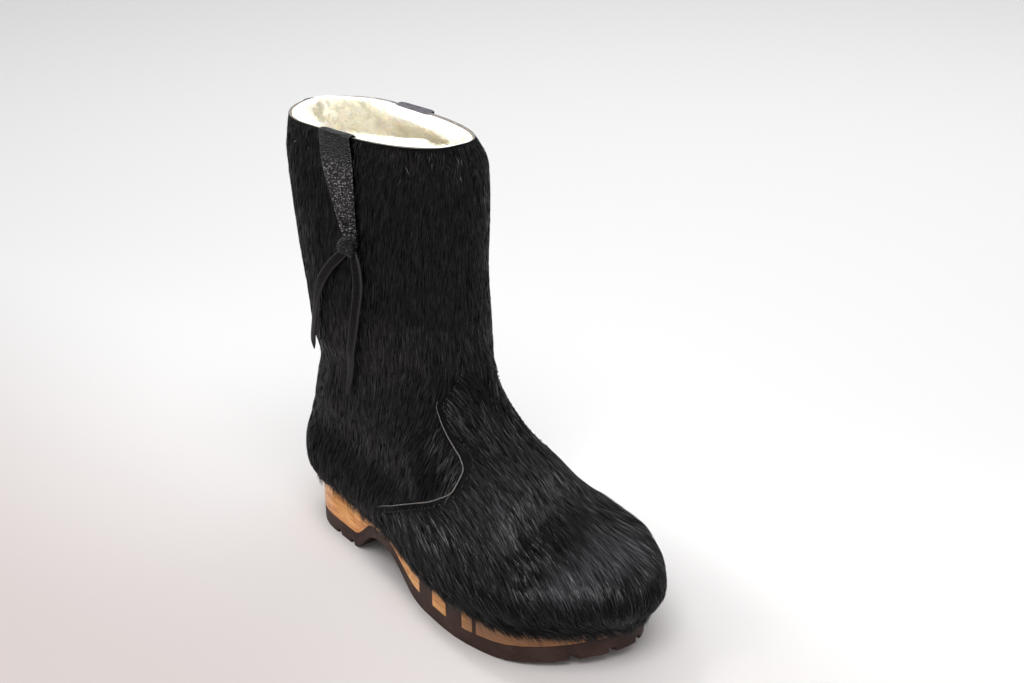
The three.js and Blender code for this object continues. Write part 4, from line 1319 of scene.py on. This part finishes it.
knot = {
    "along": 0.712,
    "drop": 0.482,
    "width": 15.0,
    "height": 14.0,
    "depth": 9.0,
    "strand": 3.0,
    "stand": 5.6,
    "turned": 0.5,
    "steps": 132,
    "sides": 12,
    "strandWide": 1.05,  # half width and half height of the strand, in strands
    "strandHigh": 0.72,
    "wrinkle": 0.05,
    "core": (0.34, 0.42, 0.36),  # half sizes of its middle, as shares of the knot's
}
thongs = {
    "width": 6.0,
    "thickness": 2.2,
    "twist": 0.14,
    "sidePower": 0.55,  # powers that square its section
    "facePower": 0.45,
    # along the shaft, drop and lift off the hide, and share of the width
    "rear": [
        (0.702, 0.495, 1.5, 0.8), (0.655, 0.545, 1.6, 1.0), (0.597, 0.605, 1.6, 1.0),
        (0.530, 0.695, 1.6, 1.05), (0.478, 0.805, 1.6, 1.0), (0.440, 0.930, 2.1, 1.05),
        (0.414, 1.030, 3.1, 1.0), (0.400, 1.095, 4.1, 0.2),
    ],
    "front": [
        (0.722, 0.500, 1.5, 0.8), (0.747, 0.585, 1.6, 1.0), (0.757, 0.680, 1.6, 1.05),
        (0.745, 0.800, 1.6, 1.0), (0.717, 0.930, 1.6, 1.05), (0.676, 1.055, 1.6, 1.05),
        (0.637, 1.170, 1.6, 1.0), (0.606, 1.280, 1.6, 0.2),
    ],
}


def makeThong(name, rows):
    # a flat strip with rounded edges carried down the side, pointed at its end
    table = smoothPath(np.array(rows) * [100, 100, 1, 1], 90) / [100, 100, 1, 1]
    angle, level = sidePlace(placeX(table[:, 0]), placeZ(table[:, 1]), -1)
    centre, out = onSkin(angle, level, table[:, 2] + boot["furDepth"] + thongs["thickness"] / 2)
    along = unit(np.gradient(centre, axis=0))
    across = unit(np.cross(along, out))
    out = np.cross(across, along)
    twist = thongs["twist"] * np.sin(np.linspace(0, 2.6, len(centre)) * 2.3)
    a = across * np.cos(twist)[:, None] + out * np.sin(twist)[:, None]
    b = out * np.cos(twist)[:, None] - across * np.sin(twist)[:, None]
    turn = np.linspace(0, 2 * np.pi, 16, endpoint=False)
    flat = np.sign(np.cos(turn)) * np.abs(np.cos(turn)) ** thongs["sidePower"]
    thick = np.sign(np.sin(turn)) * np.abs(np.sin(turn)) ** thongs["facePower"]
    halfWidth = table[:, 3] * thongs["width"] / 2
    halfThick = np.full(len(centre), thongs["thickness"] / 2) * np.clip(table[:, 3] * 1.4, 0.3, 1)
    rowsOut = centre[:, None] + a[:, None] * (flat[None, :, None] * halfWidth[:, None, None])
    rowsOut = rowsOut + b[:, None] * (thick[None, :, None] * halfThick[:, None, None])
    points, faces = closedTube(rowsOut)
    paleness = np.concatenate([np.tile(np.abs(flat) ** 6 * 0.9, len(centre)), [0.5, 0.5]])
    makeLeather(name, "tassel", points, faces, thongLeather, paleness)


def makeKnot():
    # An overhand knot: a thick oval strand along a three-lobed knot curve, pressed flat
    angle, level = sidePlace(placeX(knot["along"]), placeZ(knot["drop"]), -1)
    centre, out = onSkin(angle, level, np.array(knot["stand"]))
    across = unit(np.cross([0, 0, 1], out))
    up = np.cross(out, across)
    t = np.linspace(0, 2 * np.pi, knot["steps"], endpoint=False)
    x = (np.sin(t) + 2 * np.sin(2 * t)) / 3
    y = (np.cos(t) - 2 * np.cos(2 * t)) / 3
    z = -np.sin(3 * t)
    spin = knot["turned"]
    x, y = x * math.cos(spin) - y * math.sin(spin), x * math.sin(spin) + y * math.cos(spin)
    size = np.array([knot["width"], knot["height"], knot["depth"]]) / 2 - knot["strand"] * 0.9
    path = x[:, None] * across * size[0] + y[:, None] * up * size[1] + z[:, None] * out * size[2] * 0.8
    tangent = unit(np.roll(path, -1, 0) - np.roll(path, 1, 0))
    sideways = unit(np.cross(tangent, out))
    upward = np.cross(sideways, tangent)
    halves = [np.full(len(t), knot["strand"] * knot[name]) for name in ("strandWide", "strandHigh")]
    ring = tubeRows(centre + path, sideways, upward, *halves, knot["sides"])
    wrinkle = 1 + knot["wrinkle"] * np.sin(np.arange(len(t)) * 1.9)[:, None, None]
    ring = (centre + path)[:, None] + (ring - (centre + path)[:, None]) * wrinkle
    faces = gridFaces(len(t), knot["sides"], closeRows=True, closeColumns=True)
    core = coreBlob(centre, across, up, out)
    points, allFaces = joinParts([(ring.reshape(-1, 3), faces.tolist()), core])
    makeLeather("knot", "tassel", points, allFaces, strapLeather, np.full(len(points), 0.35))


def coreBlob(centre, across, up, out):
    # a rounded body that fills the knot's middle, closed at both poles
    v = np.linspace(0, np.pi, 14)[1:-1]
    u = np.linspace(0, 2 * np.pi, 22, endpoint=False)
    vv, uu = np.meshgrid(v, u, indexing="ij")
    shape = np.stack([np.sin(vv) * np.cos(uu), np.cos(vv), np.sin(vv) * np.sin(uu)], -1)
    size = np.array([knot["width"], knot["height"], knot["depth"]]) * knot["core"]
    points = centre + (shape * size) @ np.stack([across, up, out])
    return closedTube(points)


makeKnot()
makeThong("thongRear", thongs["rear"])
makeThong("thongFront", thongs["front"])
print("knot and thongs made")


# Insole: the lambskin footbed, a pad with a rounded edge

insole = {
    "thickness": 6.0,
    "inset": 1.5,
    "gap": 0.3,
    "around": 140,
    "rings": 18,
    "spine": (30.0, 225.0),  # ends of the line that its rings shrink to
    "roundFrom": 0.93,  # share of the way out where its edge starts to round over
}
seatRows = [(0.00, 1.00), (0.25, 0.99), (0.45, 0.88), (0.65, 0.74), (0.80, 0.71), (1.00, 0.78)]
seatShare = curveThrough([row[0] for row in seatRows], [row[1] for row in seatRows])


def seatLine(x):
    return boot["heelSeat"] * seatShare(x / boot["soleLength"])


def makeInsole():
    # rings shrink from the inside of the upper to the middle; the edge is rounded over
    count = insole["around"]
    angle = (np.arange(count) + 0.5) / count * 2 * np.pi
    level = np.full(count, 1.0)
    for _ in range(20):
        edge = lastPoint(angle, level) - lastNormal(angle, level) * (boot["wall"] + insole["inset"])
        target = seatLine(edge[:, 0]) + insole["thickness"] / 2
        level = np.clip(level + (target - edge[:, 2]) / 24, 0.05, 5)
    middle = np.stack([np.clip(edge[:, 0], *insole["spine"]), 0.04 * edge[:, 0]], -1)
    shares = np.linspace(0, 1, insole["rings"])
    rows = []
    for face, share in [(1, share) for share in shares] + [(-1, share) for share in shares[::-1]]:
        plan = middle + (edge[:, :2] - middle) * share
        over = np.clip((share - insole["roundFrom"]) / (1 - insole["roundFrom"]), 0, 1)
        height = insole["gap"] + insole["thickness"] * (0.5 + face * 0.5 * np.sqrt(1 - over ** 2))
        if face > 0:
            lump = 0.35 * np.sin(plan[:, 0] / 4.1 + np.sin(plan[:, 1] / 3.0)) * np.sin(plan[:, 1] / 3.7)
            height = height + lump * (1 - over)
        rows.append(np.column_stack([plan, seatLine(plan[:, 0]) + height]))
    faces = gridFaces(len(rows), count, closeColumns=True)
    deep = np.full(len(rows) * count, 0.5)
    piece = newPiece("footbed", np.concatenate(rows), faces, [wool], {"depth": deep})
    cleanMesh(piece.data, merge=0.02)
    dress(piece, "shearling", "insole")


makeInsole()
print("footbed made")


# Sole pieces: the shaped wood and the moulded rubber

soleFinish = {"mergeDistance": 0.02, "flatAngle": 0.6, "sharpAngle": 34.0}


def makeSolePiece(node, name, material, slot):
    # a merged copy of the solid, smooth over its curves and sharp at its corners
    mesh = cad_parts[node].data.copy()
    cleanMesh(mesh, soleFinish["mergeDistance"], soleFinish["flatAngle"], outward=False)
    mesh.materials.clear()
    mesh.materials.append(material)
    mesh.name = name
    piece = bpy.data.objects.new(name, mesh)
    bpy.context.scene.collection.objects.link(piece)
    mesh.polygons.foreach_set("use_smooth", np.full(len(mesh.polygons), True))
    mesh.set_sharp_from_angle(angle=math.radians(soleFinish["sharpAngle"]))
    dress(piece, slot, node)


makeSolePiece("wood_sole", "alderSole", alder, "sole_wood")
makeSolePiece("outsole", "rubberOutsole", rubber, "outsole_rubber")
print("sole made")


# Floor and light

studio = {
    "floorStart": -2.4,
    "floorRun": 5.2,
    "flatShare": 0.6,  # of the sheet's rows, the rest are its bend
    "bendRadius": 1.6,
    "wallRise": 1.8,
    "floorNearShade": "#cfc6c4",
    "floorFar": "#f0f0f0",
    "worldStrength": 0.61,
}
lamps = readTable("name place target size power spread", [
    ("overhead", (0.52, -0.46, 1.35), (0.0, 0.0, 0.12), (1.0, 0.9), 12.8, 180),
    ("collar", (-0.24, -0.06, 0.55), (-0.045, 0.02, 0.25), (0.10, 0.10), 0.075, 40),
    ("fill", (-0.24, -0.06, 0.55), (-0.04, 0.02, 0.25), (0.25, 0.25), 0.6, 180),
    ("backdrop", (-0.6, 1.05, 1.6), (-1.4, 2.0, 0.25), (2.2, 2.0), 12.8, 180),
])


def makeFloor():
    # a flat floor that curves up into a wall behind the boot
    across = np.linspace(-6, 6, 25)
    run = np.linspace(0, 1, 90)
    level = studio["flatShare"]
    flat = np.clip(run / level, 0, 1) * studio["floorRun"] + studio["floorStart"]
    bend = np.clip((run - level) / (1 - level), 0, 1) * math.pi / 2
    depth = flat + studio["bendRadius"] * np.sin(bend)
    height = studio["bendRadius"] * (1 - np.cos(bend)) * studio["wallRise"]
    az = math.radians(camera["azimuth"])
    away = np.array([-math.sin(az), math.cos(az)])
    right = np.array([math.cos(az), math.sin(az)])
    plan = depth[:, None, None] * away + across[None, :, None] * right
    points = np.concatenate([plan, np.broadcast_to(height[:, None, None], plan.shape[:2] + (1,))], -1)
    faces = gridFaces(len(run), len(across))
    # matt seamless paper; its colour is painted darker towards the near left and paler towards the wall and
    # the right, as the soft shade around the boot
    look = {"Roughness": 0.9, "Specular IOR Level": 0.1}
    material, tree, principled, place = newMaterial("paperSweep", look)
    slope = away * 0.8 + right * 0.6
    settings = {"operation": "DOT_PRODUCT", 1: (slope[0], slope[1], 0.0)}
    turned = addNode(tree, "ShaderNodeVectorMath", settings, {0: place})
    stops = [(0.38, studio["floorNearShade"]), (0.60, studio["floorFar"])]
    settings = {"operation": "MULTIPLY_ADD", 1: 0.5, 2: 0.5}
    shifted = addNode(tree, "ShaderNodeMath", settings, {0: turned.outputs["Value"]})
    colour = ramp(tree, shifted.outputs[0], stops, "EASE")
    tree.links.new(colour.outputs["Color"], principled.inputs["Base Color"])
    sizes = [4] * len(faces)
    floor = newMesh("floor", points.reshape(-1, 3), faces[:, ::-1].ravel(), sizes, [material])


def makeLight():
    world = bpy.data.worlds.new("studio")
    bpy.context.scene.world = world
    world.use_nodes = True
    background = world.node_tree.nodes["Background"]
    background.inputs["Color"].default_value = linear("#ffffff")
    background.inputs["Strength"].default_value = studio["worldStrength"]
    for row in lamps:
        data = bpy.data.lights.new(row["name"], "AREA")
        data.shape = "RECTANGLE"
        data.size, data.size_y = row["size"]
        data.energy = row["power"]
        data.spread = math.radians(row["spread"])
        lamp = bpy.data.objects.new(row["name"], data)
        lamp.location = row["place"]
        towards = Vector(row["target"]) - Vector(row["place"])
        lamp.rotation_euler = towards.to_track_quat("-Z", "Y").to_euler()
        bpy.context.scene.collection.objects.link(lamp)


makeFloor()
makeLight()
bpy.context.scene.view_settings.view_transform = "Standard"
print("floor and light made")
